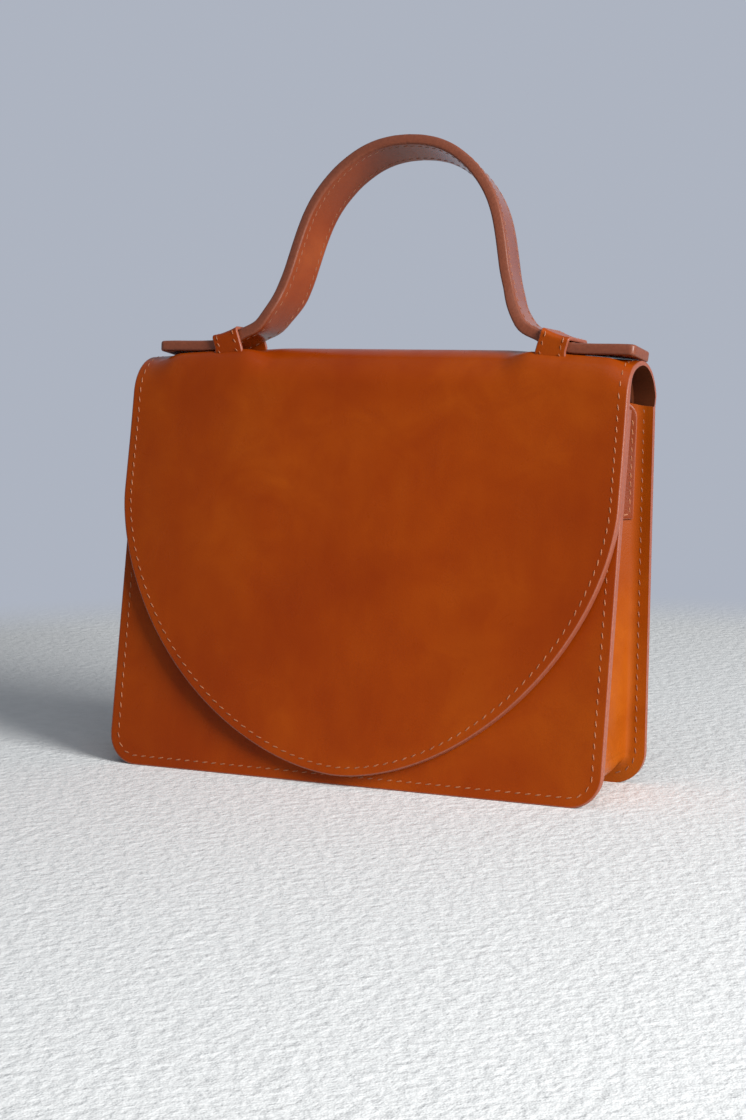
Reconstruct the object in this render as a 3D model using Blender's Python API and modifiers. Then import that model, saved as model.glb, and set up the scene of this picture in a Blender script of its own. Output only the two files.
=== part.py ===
"""Mini briefcase bag in bridle leather, built from its separate pieces.

The pieces are cut flat and then formed, as a leather worker makes them. One long hide
gives the back, the top and the flap, with a lining behind it. A gusset folded like a
bellows joins the back to the front panel, with flanges stitched inside their edges. A
strap handle arches over the top, and its ends slide under two loops. Two flat magnets
between the layers hold the flap shut.

+X is the bag's right as one faces it, -Y is its front and +Z is up. The bag stands on
z = 0. Sizes are in metres. An empty on each joint's axis carries the pieces that move.
"""
import math

import bmesh
import bpy
from mathutils import Matrix, Vector

# The body
BASE_DEPTH = 0.053
CREST_HEIGHT = 0.172
PANEL_WIDTH = 0.219
PANEL_CORNER = 0.013
PANEL_LEATHER = 0.0019
PANEL_LINING = 0.0016
FRONT_HEIGHT = 0.154
FRONT_LEAN = math.radians(11.1)
BACK_LEAN = math.radians(3.0)
LAYER_GAP = 0.0003

# The flap and the top, which are cut in one with the back
FLAP_SIDE_REACH = 0.0005
FLAP_WIDTH = PANEL_WIDTH + 2 * FLAP_SIDE_REACH
FLAP_STRAIGHT = 0.0448
FLAP_ROUND = 0.1115
FLAP_ROUND_POWER = 1.8
FLAP_LEATHER = 0.0018
FLAP_LINING = 0.0018
FOLD_ANGLE = math.radians(8.0)

# The top falls away towards its side ends
FALL_START = 0.0457
FALL_EASE = 0.010
FALL_SLOPE = 0.060
FALL_LOW = 0.100
FALL_HIGH = 0.150

# The bellows gusset
GUSSET_LEATHER = 0.0014
GUSSET_TOP = 0.1535
GUSSET_PEAK = 0.0045
GUSSET_PEAK_RUN = 0.020
FLANGE = 0.0080
FLANGE_TOP = 0.0044
FLANGE_BEND = 0.002
FOLD_ROOM = 0.004
BELLOWS_DEPTH = 0.018
BELLOWS_CREASE = 0.0012
BELLOWS_POWER = 1.3
BASE_BOW = 0.003
BASE_BOW_RUN = 0.022
BASE_FLAT_SHARE = 0.40

# The tab sewn on each side, for a carrying strap
TAB_WIDTH = 0.013
TAB_LOW = 0.106
TAB_HIGH = 0.155
TAB_LEATHER = 0.0014
TAB_FROM_FOLD = 0.0010

# The magnets
MAGNET_RADIUS = 0.007
MAGNET_THICKNESS = 0.0009
MAGNET_HEIGHT = 0.040
MAGNET_CLEARANCE = 0.0003

# The handle strap
STRAP_WIDTH = 0.019
STRAP_OUTER = 0.0021
STRAP_LINING = 0.0019
STRAP_HALF_SPAN = 0.1058
STRAP_END_CORNER = 0.002
HANDLE_RIGHT = 0.0043
HANDLE_BACK = 0.0003
HANDLE_LEAN = math.radians(14.2)
HANDLE_TWIST = math.radians(5.5)
LEAN_LOW = 0.006
LEAN_HIGH = 0.018
STRAP_FLAT_END = 0.080
ARCH_HALF = 0.0575
ARCH_HEIGHT = 0.0864
RISE_SHARES = (
    (1.315, 0.0392), (1.252, 0.0531), (1.200, 0.0684), (1.148, 0.0878), (1.050, 0.1157),
)
ARCH_SHARES = (
    (1.0, 0.151), (0.939, 0.216), (0.899, 0.285), (0.864, 0.357), (0.838, 0.429),
    (0.812, 0.502), (0.783, 0.575), (0.748, 0.648), (0.699, 0.721), (0.621, 0.793),
    (0.520, 0.867), (0.386, 0.934), (0.256, 0.974), (0.125, 0.994), (0.0, 1.0),
)

# The loops that the strap slides under
LOOP_INNER = 0.0652
LOOP_LENGTH = 0.0128
LOOP_LEAN = math.radians(17.0)
LOOP_LEATHER = 0.0014
LOOP_CORNER = 0.0008
LOOP_SIDE_GAP = 0.0004
LOOP_ROOF_GAP = 0.0005

# How finely curved forms are cut into flat faces
BEND_STEP = math.radians(10.0)
FLAT_STEP = 0.016
COLUMNS = 12
CORNER_STEPS = 6
FLAP_ROUND_STEPS = 15
FILLET_STEPS = 3
MAGNET_SIDES = 32
RECESS_OVERRUN = 0.001
WELD = 0.00001

LEATHER = ("leather", (0.42, 0.115, 0.022), 0.34, 0.0)
LINING = ("lining_leather", (0.33, 0.10, 0.03), 0.62, 0.0)
STRAP = ("strap_leather", (0.36, 0.095, 0.028), 0.38, 0.0)
MAGNET = ("magnet_steel", (0.55, 0.55, 0.57), 0.35, 1.0)


def clear_scene():
    """Remove every object that the file opened with."""
    for thing in list(bpy.data.objects):
        bpy.data.objects.remove(thing)


def smooth_step(value):
    """Ease from 0 to 1 while value runs from 0 to 1."""
    share = min(1.0, max(0.0, value))
    return share * share * (3.0 - 2.0 * share)


def spread(start, end, step):
    """Evenly spaced values from start to end, both included, no further apart than step."""
    count = max(1, math.ceil(abs(end - start) / step))
    return [start + (end - start) * i / count for i in range(count + 1)]


def smooth_line(points, steps):
    """A smooth line through points, with steps pieces between each two."""
    ends = [points[0] * 2 - points[1]] + points + [points[-1] * 2 - points[-2]]
    line = []
    for i in range(1, len(ends) - 2):
        a, b, c, d = ends[i - 1:i + 3]
        for step in range(steps):
            t = step / steps
            bend = (a * 2 - b * 5 + c * 4 - d) * t * t + (b * 3 - a - c * 3 + d) * t * t * t
            line.append((b * 2 + (c - a) * t + bend) / 2)
    return line + [points[-1]]


def fall(across):
    """How far the crest of the top has fallen at a distance from the handle's middle."""
    out = abs(across) - FALL_START
    if out <= 0.0:
        return 0.0
    if out < FALL_EASE:
        return FALL_SLOPE * out * out / (2 * FALL_EASE)
    return FALL_SLOPE * (out - FALL_EASE / 2)


def droop(point):
    """Lower a point as the top falls away at its side ends, less and less further down."""
    height = smooth_step((point.z - FALL_LOW) / (FALL_HIGH - FALL_LOW))
    return Vector((point.x, point.y, point.z - fall(point.x - HANDLE_RIGHT) * height))


class Wrap:
    """The outer face of the hide that runs up the back, over the top and down the flap.

    A place on it is its distance along the face from the foot of the bend at the back,
    and its depth below the face.
    """

    def __init__(self):
        flap_stack = FLAP_LEATHER + FLAP_LINING + 2 * LAYER_GAP + LAYER_GAP / 2
        reach = BASE_DEPTH + flap_stack / math.cos(FRONT_LEAN)
        taper = math.tan(FRONT_LEAN) - math.tan(BACK_LEAN)
        slants = 1 / math.cos(FRONT_LEAN) + 1 / math.cos(BACK_LEAN) - taper
        self.radius = (reach - CREST_HEIGHT * taper) / slants
        self.centre_z = CREST_HEIGHT - self.radius
        rise = math.sin(BACK_LEAN) * self.centre_z - self.radius
        self.centre_y = BASE_DEPTH / 2 + rise / math.cos(BACK_LEAN)
        self.turn = math.pi - FRONT_LEAN + BACK_LEAN
        self.bend_length = self.radius * self.turn
        back_foot = self.centre_z - self.radius * math.sin(BACK_LEAN)
        self.back_length = back_foot / math.cos(BACK_LEAN)

    def place(self, along, depth):
        """The (y, z) of a place on the hide."""
        angle = min(self.turn, max(0.0, along / self.radius))
        facing = angle - BACK_LEAN
        out = Vector((math.cos(facing), math.sin(facing)))
        onward = Vector((-out.y, out.x))
        rest = along - angle * self.radius
        spot = Vector((self.centre_y, self.centre_z)) + out * (self.radius - depth) + onward * rest
        return spot

    def form(self, flat):
        """Bend a flat-cut point (across, along, -depth) to its place on the bag."""
        y, z = self.place(flat.y, -flat.z)
        if flat.y <= WELD - self.back_length:
            z = 0.0
        return droop(Vector((flat.x, y, z)))


WRAP = Wrap()
BACK_SPLIT = WRAP.radius * FOLD_ANGLE
FLAP_SPLIT = WRAP.bend_length - WRAP.radius * FOLD_ANGLE
FLAP_END = WRAP.bend_length + FLAP_STRAIGHT + FLAP_ROUND


def front_form(flat):
    """Place a flat-cut point (across, up, -depth) on the leaning front panel."""
    y = -BASE_DEPTH / 2 + flat.y * math.sin(FRONT_LEAN) - flat.z * math.cos(FRONT_LEAN)
    z = flat.y * math.cos(FRONT_LEAN) + flat.z * math.sin(FRONT_LEAN)
    return droop(Vector((flat.x, y, max(0.0, z))))


def front_inner_y(z, depth):
    """The y of the front panel at a height, a depth behind its outer face."""
    return -BASE_DEPTH / 2 + z * math.tan(FRONT_LEAN) + depth / math.cos(FRONT_LEAN)


def back_inner_y(z, depth):
    """The y of the back panel at a height, a depth before its outer face."""
    return BASE_DEPTH / 2 + z * math.tan(BACK_LEAN) - depth / math.cos(BACK_LEAN)


def get_material(finish):
    """The material of a finish, made the first time it is asked for."""
    name, colour, roughness, metallic = finish
    found = bpy.data.materials.get(name)
    if found is None:
        found = bpy.data.materials.new(name)
        found.use_nodes = True
        shader = found.node_tree.nodes["Principled BSDF"]
        shader.inputs["Base Color"].default_value = (*colour, 1.0)
        shader.inputs["Roughness"].default_value = roughness
        shader.inputs["Metallic"].default_value = metallic
    return found


def new_collection(name):
    """A collection of the scene."""
    made = bpy.data.collections.new(name)
    bpy.context.scene.collection.children.link(made)
    return made


def new_object(name, mesh, collection, finish=None):
    """An object for a mesh, in a collection, with its finish."""
    made = bpy.data.objects.new(name, mesh)
    collection.objects.link(made)
    if finish:
        made.data.materials.append(get_material(finish))
    return made


def face_outwards(bm):
    """Turn the faces of a closed piece outwards."""
    bmesh.ops.recalc_face_normals(bm, faces=bm.faces)
    if bm.calc_volume(signed=True) < 0:
        bmesh.ops.reverse_faces(bm, faces=bm.faces)


def mesh_from(bm, name):
    """A mesh from a bmesh whose faces are turned outwards."""
    face_outwards(bm)
    mesh = bpy.data.meshes.new(name)
    bm.to_mesh(mesh)
    bm.free()
    mesh.shade_smooth()
    mesh.set_sharp_from_angle(angle=math.radians(35))
    return mesh


def slab(rows, columns, thickness):
    """A flat slab of rows by columns of faces, in a bmesh, with its grid places kept.

    Returns the bmesh and, for each vertex, its row, its column from 0 to 1 and its depth.
    """
    bm = bmesh.new()
    bmesh.ops.create_grid(bm, x_segments=columns, y_segments=rows - 1, size=0.5)
    sheet = bmesh.ops.extrude_face_region(bm, geom=bm.faces[:])
    lower = {v for v in sheet["geom"] if isinstance(v, bmesh.types.BMVert)}
    grid = {}
    for vertex in bm.verts:
        row = round((vertex.co.y + 0.5) * (rows - 1))
        grid[vertex] = (row, vertex.co.x + 0.5, thickness if vertex in lower else 0.0)
    return bm, grid


def cut_flat(name, outline, depth, thickness, columns=COLUMNS):
    """Cut a piece of leather flat.

    outline is a list of (along, half width) from one end to the other. The piece lies
    from depth to depth + thickness below the outer face, along -Z.
    """
    bm, grid = slab(len(outline), columns, thickness)
    for vertex, (row, across, below) in grid.items():
        along, half = outline[row]
        vertex.co = Vector((half * (2 * across - 1), along, -(depth + below)))
    return mesh_from(bm, name)


def form_mesh(mesh, form):
    """Move each vertex of a flat-cut mesh to its formed place, faces outwards."""
    bm = bmesh.new()
    bm.from_mesh(mesh)
    for vertex in bm.verts:
        vertex.co = form(vertex.co.copy())
    face_outwards(bm)
    bm.to_mesh(mesh)
    bm.free()


def cut_recess(piece, cutters, centre, depth):
    """Cut a round recess for a magnet into a flat piece, down from its outer face."""
    height = depth + RECESS_OVERRUN
    bm = bmesh.new()
    bmesh.ops.create_cone(
        bm, cap_ends=True, segments=MAGNET_SIDES, radius1=MAGNET_RADIUS + MAGNET_CLEARANCE,
        radius2=MAGNET_RADIUS + MAGNET_CLEARANCE, depth=height,
    )
    bmesh.ops.translate(bm, verts=bm.verts, vec=centre + Vector((0, 0, RECESS_OVERRUN - height / 2)))
    cutter = new_object(piece.name + "_recess_cutter", mesh_from(bm, "recess"), cutters)
    cutter.hide_render = True
    cutter.display_type = "WIRE"
    cut = piece.modifiers.new("recess", "BOOLEAN")
    cut.operation = "DIFFERENCE"
    cut.object = cutter
    cut.solver = "EXACT"
    view = bpy.context.evaluated_depsgraph_get()
    mesh = bpy.data.meshes.new_from_object(piece.evaluated_get(view))
    piece.modifiers.clear()
    old = piece.data
    piece.data = mesh
    bpy.data.meshes.remove(old)
    bpy.data.objects.remove(cutter)


def magnet_mesh(centre):
    """A flat round magnet whose upper face is centred on a flat-cut place."""
    bm = bmesh.new()
    bmesh.ops.create_cone(
        bm, cap_ends=True, segments=MAGNET_SIDES, radius1=MAGNET_RADIUS,
        radius2=MAGNET_RADIUS, depth=MAGNET_THICKNESS,
    )
    bmesh.ops.translate(bm, verts=bm.verts, vec=centre - Vector((0, 0, MAGNET_THICKNESS / 2)))
    return mesh_from(bm, "magnet")


def panel_outline(foot, top, inset):
    """Stations up a panel with rounded bottom corners, inset from its edge.

    foot is the distance along the hide at the panel's bottom edge, top the last station.
    """
    corner = PANEL_CORNER - inset
    half = PANEL_WIDTH / 2 - inset
    stations = []
    for i in range(CORNER_STEPS):
        angle = math.pi / 2 * i / CORNER_STEPS
        up = corner * (1 - math.cos(angle))
        stations.append((foot + inset + up, half - corner + corner * math.sin(angle)))
    stations += [(u, half) for u in spread(foot + inset + corner, top, FLAT_STEP)]
    return stations


def back_outline(inset):
    """Stations up the back to the fold, finer on the bend."""
    low = panel_outline(-WRAP.back_length, 0.0, inset)
    half = PANEL_WIDTH / 2 - inset
    bend = spread(0.0, BACK_SPLIT - LAYER_GAP / 2, WRAP.radius * BEND_STEP)
    return low + [(u, half) for u in bend[1:]]


def top_outline():
    """Stations over the top, between the two folds."""
    stations = spread(
        BACK_SPLIT + LAYER_GAP / 2, FLAP_SPLIT - LAYER_GAP / 2, WRAP.radius * BEND_STEP
    )
    return [(u, FLAP_WIDTH / 2) for u in stations]


def flap_outline():
    """Stations down the flap: the last of the bend, a straight run, then the round."""
    half = FLAP_WIDTH / 2
    bend = spread(FLAP_SPLIT + LAYER_GAP / 2, WRAP.bend_length, WRAP.radius * BEND_STEP)
    straight = spread(WRAP.bend_length, WRAP.bend_length + FLAP_STRAIGHT, FLAT_STEP)
    stations = [(u, half) for u in bend[:-1] + straight]
    power = 2 / FLAP_ROUND_POWER
    for i in range(1, FLAP_ROUND_STEPS):
        angle = math.pi / 2 * i / (FLAP_ROUND_STEPS - 1 + 1 / FLAP_ROUND_STEPS)
        down = FLAP_ROUND * math.sin(angle) ** power
        stations.append((WRAP.bend_length + FLAP_STRAIGHT + down, half * math.cos(angle) ** power))
    return stations


def flap_magnet_place(depth):
    """The flat-cut place of the flap's magnet, level with MAGNET_HEIGHT."""
    foot_of_flap = WRAP.place(WRAP.bend_length, depth)
    down = (foot_of_flap.y - MAGNET_HEIGHT) / math.cos(FRONT_LEAN)
    return Vector((0, WRAP.bend_length + down, -depth))


class Builder:
    """Makes the pieces and hangs each one on the empty of the body that carries it."""

    def __init__(self):
        self.pieces = new_collection("mini_briefcase_bag")
        self.cutters = new_collection("cutters")
        self.bodies = {}

    def add_body(self, name, parent, pivot):
        """An empty on a body's joint axis, with its place in the bag's frame."""
        empty = bpy.data.objects.new(name + "_body", None)
        self.pieces.objects.link(empty)
        self.bodies[name] = (empty, Vector(pivot))
        if parent:
            empty.parent = self.bodies[parent][0]
            empty.location = Vector(pivot) - self.bodies[parent][1]
        else:
            empty.location = pivot

    def hang(self, piece, body):
        """Put a piece, whose mesh is in the bag's frame, on its body's empty."""
        empty, pivot = self.bodies[body]
        piece.data.transform(Matrix.Translation(-pivot))
        piece.parent = empty
        piece.location = (0, 0, 0)

    def add_formed(self, name, body, flat_mesh, form, finish):
        """Form a flat-cut mesh and hang it on its body."""
        form_mesh(flat_mesh, form)
        piece = new_object(name, flat_mesh, self.pieces, finish)
        self.hang(piece, body)
        return piece

    def add_recessed(self, name, body, flat_mesh, form, finish, centre, depth):
        """As add_formed, with a magnet's recess cut while the piece is flat."""
        piece = new_object(name, flat_mesh, self.pieces, finish)
        cut_recess(piece, self.cutters, centre, depth)
        form_mesh(piece.data, form)
        self.hang(piece, body)
        return piece

    def centre_depth(self):
        """Slide the whole bag along Y so that its box is centred on the origin."""
        bpy.context.view_layer.update()
        places = [
            (piece.matrix_world @ vertex.co).y
            for piece in self.pieces.objects if piece.type == "MESH"
            for vertex in piece.data.vertices
        ]
        self.bodies["root"][0].location.y -= (min(places) + max(places)) / 2


def build_front(builder):
    """The front panel, its lining and the magnet between them."""
    top = FRONT_HEIGHT / math.cos(FRONT_LEAN)
    outer = cut_flat("front_panel", panel_outline(0.0, top, 0.0), 0.0, PANEL_LEATHER)
    builder.add_formed("front_panel", "root", outer, front_form, LEATHER)
    inset = FLANGE + FOLD_ROOM
    depth = PANEL_LEATHER + LAYER_GAP
    lining = cut_flat("front_lining", panel_outline(0.0, top, inset), depth, PANEL_LINING)
    up = MAGNET_HEIGHT / math.cos(FRONT_LEAN)
    recess = MAGNET_THICKNESS + MAGNET_CLEARANCE
    builder.add_recessed(
        "front_lining", "root", lining, front_form, LINING, Vector((0, up, -depth)), recess
    )
    magnet = magnet_mesh(Vector((0, up, -depth)))
    builder.add_formed("front_magnet", "root", magnet, front_form, MAGNET)


def build_back(builder):
    """The back panel, up to the fold at the top, and its lining."""
    outer = cut_flat("back_panel", back_outline(0.0), 0.0, PANEL_LEATHER)
    builder.add_formed("back_panel", "root", outer, WRAP.form, LEATHER)
    depth = PANEL_LEATHER + LAYER_GAP
    lining = cut_flat("back_lining", back_outline(FLANGE + FOLD_ROOM), depth, PANEL_LINING)
    builder.add_formed("back_lining", "root", lining, WRAP.form, LINING)


def build_top(builder):
    """The leather over the top and its lining."""
    outer = cut_flat("top_leather", top_outline(), 0.0, FLAP_LEATHER)
    builder.add_formed("top_leather", "top", outer, WRAP.form, LEATHER)
    lining = cut_flat("top_lining", top_outline(), FLAP_LEATHER + LAYER_GAP, FLAP_LINING)
    builder.add_formed("top_lining", "top", lining, WRAP.form, LINING)


def build_flap(builder):
    """The flap's leather, its lining and its magnet."""
    outer = cut_flat("flap_leather", flap_outline(), 0.0, FLAP_LEATHER)
    builder.add_formed("flap_leather", "flap", outer, WRAP.form, LEATHER)
    depth = FLAP_LEATHER + LAYER_GAP
    lining = cut_flat("flap_lining", flap_outline(), depth, FLAP_LINING)
    recess = MAGNET_THICKNESS + MAGNET_CLEARANCE
    place = flap_magnet_place(depth)
    builder.add_recessed("flap_lining", "flap", lining, WRAP.form, LINING, place, recess)
    builder.add_formed("flap_magnet", "flap", magnet_mesh(place), WRAP.form, MAGNET)


class Gusset:
    """The bellows strip, from its top on one side, round the base, to the other side.

    A place on it is a station along the panel's outline and a section across the bag.
    """

    def __init__(self):
        self.straight = GUSSET_TOP - PANEL_CORNER
        self.corner_run = PANEL_CORNER * math.pi / 2
        self.base_half = PANEL_WIDTH / 2 - PANEL_CORNER
        self.middle_station = self.straight + self.corner_run + self.base_half

    def edge(self, station):
        """The outline's (x, z) at a station from the top, and the way inwards from it."""
        half = PANEL_WIDTH / 2
        if station <= self.straight:
            return Vector((half, GUSSET_TOP - station)), Vector((-1, 0))
        turned = station - self.straight
        if turned <= self.corner_run:
            angle = turned / PANEL_CORNER
            inward = Vector((-math.cos(angle), math.sin(angle)))
            centre = Vector((self.base_half, PANEL_CORNER))
            return centre - inward * PANEL_CORNER, inward
        return Vector((self.base_half - (turned - self.corner_run), 0.0)), Vector((0, 1))

    def flange(self, z):
        """The flange's width at a height: the bellows takes more of the strip higher up."""
        rise = min(1.0, max(0.0, (z - FLANGE) / (GUSSET_TOP - FLANGE)))
        return FLANGE + (FLANGE_TOP - FLANGE) * rise

    def bellows(self, z, half_depth):
        """How deep the bellows folds in at a height, and half the flat at its crease."""
        rise = max(0.0, (z - FLANGE) / (GUSSET_TOP - FLANGE))
        depth = BELLOWS_DEPTH * math.sin(math.pi / 2 * min(1.0, rise)) ** BELLOWS_POWER
        facet = half_depth * (1 - (z - FLANGE) / half_depth)
        return depth, min(half_depth, max(BELLOWS_CREASE, facet))

    def section(self, station):
        """The corners of the section at a station, as (inwards, across share)."""
        turned = max(0.0, station - self.straight)
        z = self.edge(station - turned)[0].y
        half = self.half_depth(z)
        depth, crease = self.bellows(z, half)
        share = min(1 - FLANGE_BEND / half, crease / half)
        bowed = smooth_step(turned / BASE_BOW_RUN)
        depth += (-BASE_BOW - depth) * bowed
        share += (BASE_FLAT_SHARE - share) * bowed
        flange = self.flange(z) if turned <= 0 else FLANGE
        return [
            (0.0, -1.0), (flange, -1.0), (flange + depth, -share),
            (flange + depth, share), (flange, 1.0), (0.0, 1.0),
        ]

    def half_depth(self, z):
        """Half the space between the two flanges' outer faces at a height."""
        inside = PANEL_LEATHER + LAYER_GAP + GUSSET_LEATHER
        return (back_inner_y(z, inside) - front_inner_y(z, inside)) / 2

    def middle(self, z):
        """The y halfway between the panels at a height."""
        return (back_inner_y(z, PANEL_LEATHER) + front_inner_y(z, PANEL_LEATHER)) / 2

    def spot(self, station, inwards, share):
        """The place in space of a point of the section at a station."""
        point, inward = self.edge(station)
        flat = point + inward * inwards
        y = self.middle(flat.y) + share * self.half_depth(flat.y)
        peak = GUSSET_PEAK * (1 - abs(share)) * smooth_step(1 - station / GUSSET_PEAK_RUN)
        return Vector((flat.x, y, flat.y + peak))

    def row(self, station):
        """The strip's outer face at a station, corner by corner, with its bends rounded."""
        corners = [self.spot(station, inwards, share) for inwards, share in self.section(station)]
        points = [corners[0]]
        for i in range(1, len(corners) - 1):
            before = corners[i - 1] - corners[i]
            after = corners[i + 1] - corners[i]
            reach = min(FLANGE_BEND, before.length * 0.45, after.length * 0.45)
            start = corners[i] + before.normalized() * reach
            end = corners[i] + after.normalized() * reach
            for step in range(FILLET_STEPS + 1):
                t = step / FILLET_STEPS
                points.append(start * (1 - t) ** 2 + corners[i] * 2 * t * (1 - t) + end * t * t)
        points.append(corners[-1])
        return points

    def stations(self, start, end):
        """Stations of a run of the strip, finer round the corner and in the facet."""
        marks = {0.0, start, end}
        facet_top = self.straight - self.half_depth(FLANGE)
        marks.update(spread(0.0, facet_top, FLAT_STEP))
        marks.update(spread(facet_top, self.straight, FLAT_STEP / 4))
        corner_end = self.straight + self.corner_run
        marks.update(spread(self.straight, corner_end, PANEL_CORNER * BEND_STEP))
        marks.update(spread(corner_end, corner_end + BASE_BOW_RUN, FLAT_STEP / 3))
        marks.update(spread(corner_end + BASE_BOW_RUN, self.middle_station, FLAT_STEP * 2))
        kept = sorted(m for m in marks if start - WELD <= m <= end + WELD)
        return [m for i, m in enumerate(kept) if i == 0 or m - kept[i - 1] > WELD]


def strip_mesh(name, rows, thickness):
    """A strip through rows of points, thickened away from its outer face.

    The outer face is the one that the rows' points run round with the bag on their left.
    """
    bm = bmesh.new()
    columns = len(rows[0])
    bmesh.ops.create_grid(bm, x_segments=columns - 1, y_segments=len(rows) - 1, size=0.5)
    for vertex in bm.verts:
        i = round((vertex.co.x + 0.5) * (columns - 1))
        j = round((vertex.co.y + 0.5) * (len(rows) - 1))
        vertex.co = rows[j][i]
    mesh = bpy.data.meshes.new(name)
    bm.to_mesh(mesh)
    bm.free()
    return mesh


def build_gusset(builder):
    """The bellows down both sides and the strip along the base, of one long strip."""
    gusset = Gusset()
    seam = gusset.straight + gusset.corner_run + LAYER_GAP
    side = gusset.stations(0.0, seam - LAYER_GAP / 2)
    half_base = gusset.stations(seam + LAYER_GAP / 2, gusset.middle_station)
    for name, mirror in (("gusset_right", 1), ("gusset_left", -1)):
        rows = [[droop(Vector((p.x * mirror, p.y, p.z))) for p in gusset.row(s)] for s in side]
        add_strip(builder, name, rows, mirror)
    right = [gusset.row(s) for s in half_base]
    left = [[Vector((-p.x, p.y, p.z)) for p in row] for row in reversed(right[:-1])]
    add_strip(builder, "gusset_base", right + left, 1)
    return gusset


def add_strip(builder, name, rows, mirror):
    """Add one run of the gusset, thickened towards the inside of the bag."""
    mesh = strip_mesh(name, rows, GUSSET_LEATHER)
    piece = new_object(name, mesh, builder.pieces, LEATHER)
    wall = piece.modifiers.new("leather", "SOLIDIFY")
    wall.thickness = GUSSET_LEATHER
    wall.offset = mirror
    wall.use_even_offset = True
    wall.use_quality_normals = True
    view = bpy.context.evaluated_depsgraph_get()
    solid = bpy.data.meshes.new_from_object(piece.evaluated_get(view))
    piece.modifiers.clear()
    piece.data = solid
    bpy.data.meshes.remove(mesh)
    form_mesh(piece.data, lambda spot: Vector((spot.x, spot.y, max(0.0, spot.z))))
    builder.hang(piece, "root")


def build_tabs(builder, gusset):
    """The tab sewn to the back half of the bellows on each side."""
    radius = TAB_WIDTH / 2
    outline = [(z, radius) for z in spread(TAB_LOW, TAB_HIGH - radius, FLAT_STEP)]
    for i in range(1, CORNER_STEPS):
        angle = math.pi / 2 * i / CORNER_STEPS
        outline.append((TAB_HIGH - radius + radius * math.sin(angle), radius * math.cos(angle)))

    def place(flat, mirror):
        """Lay a flat-cut point of the tab on the bellows' back half."""
        z = flat.y
        half = gusset.half_depth(z)
        depth, flat_crease = gusset.bellows(z, half)
        fold = Vector((PANEL_WIDTH / 2 - gusset.flange(z), gusset.middle(z) + half))
        crease = Vector((fold.x - depth, gusset.middle(z) + flat_crease))
        inward = (crease - fold).normalized()
        outward = Vector((-inward.y, inward.x))
        if outward.y > 0:
            outward = -outward
        across = TAB_FROM_FOLD + radius - flat.x
        spot = fold + inward * across + outward * (LAYER_GAP + TAB_LEATHER + flat.z)
        return droop(Vector((spot.x * mirror, spot.y, z)))

    for name, mirror in (("strap_tab_right", 1), ("strap_tab_left", -1)):
        mesh = cut_flat(name, outline, 0.0, TAB_LEATHER, columns=4)
        builder.add_formed(name, "root", mesh, lambda flat, side=mirror: place(flat, side), STRAP)


def strap_path():
    """Half of the strap's upper face, as (out from its middle, height over the crest).

    Returns the run from the tip to where the strap has risen off the bag, and the rest
    of the arch to the crown. The two share their end point.
    """
    stack = STRAP_OUTER + STRAP_LINING + 2 * LAYER_GAP
    flat = [Vector((u, stack - fall(u))) for u in strap_end_stations()]
    rise = [Vector((x * ARCH_HALF, z * ARCH_HEIGHT)) for x, z in RISE_SHARES]
    arch = [Vector((x * ARCH_HALF, z * ARCH_HEIGHT)) for x, z in ARCH_SHARES]
    curved = smooth_line([flat[-1]] + rise + arch, 3)
    risen = 3 * (len(rise) + 1)
    return flat[:-1] + curved[:risen + 1], curved[risen:]


def strap_end_stations():
    """Distances from the handle's middle down a strap end's flat run, from its tip."""
    corner = spread(STRAP_HALF_SPAN, STRAP_HALF_SPAN - STRAP_END_CORNER, STRAP_END_CORNER / 4)
    run = spread(STRAP_HALF_SPAN - STRAP_END_CORNER, STRAP_FLAT_END, FLAT_STEP / 2)
    return corner[:-1] + run


def strap_half_width(out):
    """Half the strap's width, which rounds in at the corners of its tip."""
    short = max(0.0, out - (STRAP_HALF_SPAN - STRAP_END_CORNER))
    corner = math.sqrt(max(0.0, STRAP_END_CORNER**2 - short * short))
    return STRAP_WIDTH / 2 - STRAP_END_CORNER + corner


def lean_share(height):
    """How much of its full lean and twist the handle has at a height over the crest."""
    return smooth_step((height - LEAN_LOW) / (LEAN_HIGH - LEAN_LOW))


def strap_place(out, height, across):
    """The place of a point of the handle, which leans back as it rises."""
    lean = HANDLE_LEAN * lean_share(height)
    y = WRAP.centre_y + HANDLE_BACK + height * math.sin(lean) + across * math.cos(lean)
    z = CREST_HEIGHT + height * math.cos(lean) - across * math.sin(lean)
    return Vector((HANDLE_RIGHT + out, y, z))


def add_strap_layers(builder, suffix, body, path, mirror):
    """Add the strap's two layers along a path of its upper face, as (out, height).

    Where the strap stands up it is twisted, so that its back edge is nearer the hand.
    """
    sides = []
    for i in range(len(path)):
        way = path[min(i + 1, len(path) - 1)] - path[max(i - 1, 0)]
        side = Vector((-way.y, way.x)).normalized()
        sides.append(side if side.y >= 0 else -side)
    layers = (
        ("handle_strap", 0.0, STRAP_OUTER, STRAP),
        ("handle_lining", STRAP_OUTER + LAYER_GAP, STRAP_LINING, LINING),
    )
    for name, depth, thickness, finish in layers:
        bm, grid = slab(len(path), 2, thickness)
        for vertex, (row, across, below) in grid.items():
            twist = HANDLE_TWIST * lean_share(path[row].y)
            aside = (2 * across - 1) * strap_half_width(abs(path[row].x))
            inwards = (depth + below) * math.cos(twist) + aside * math.sin(twist)
            aside = aside * math.cos(twist) - (depth + below) * math.sin(twist)
            spot = path[row] - sides[row] * inwards
            vertex.co = strap_place(mirror * spot.x, spot.y, aside)
        piece = new_object(name + suffix, mesh_from(bm, name), builder.pieces, finish)
        builder.hang(piece, body)


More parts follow.
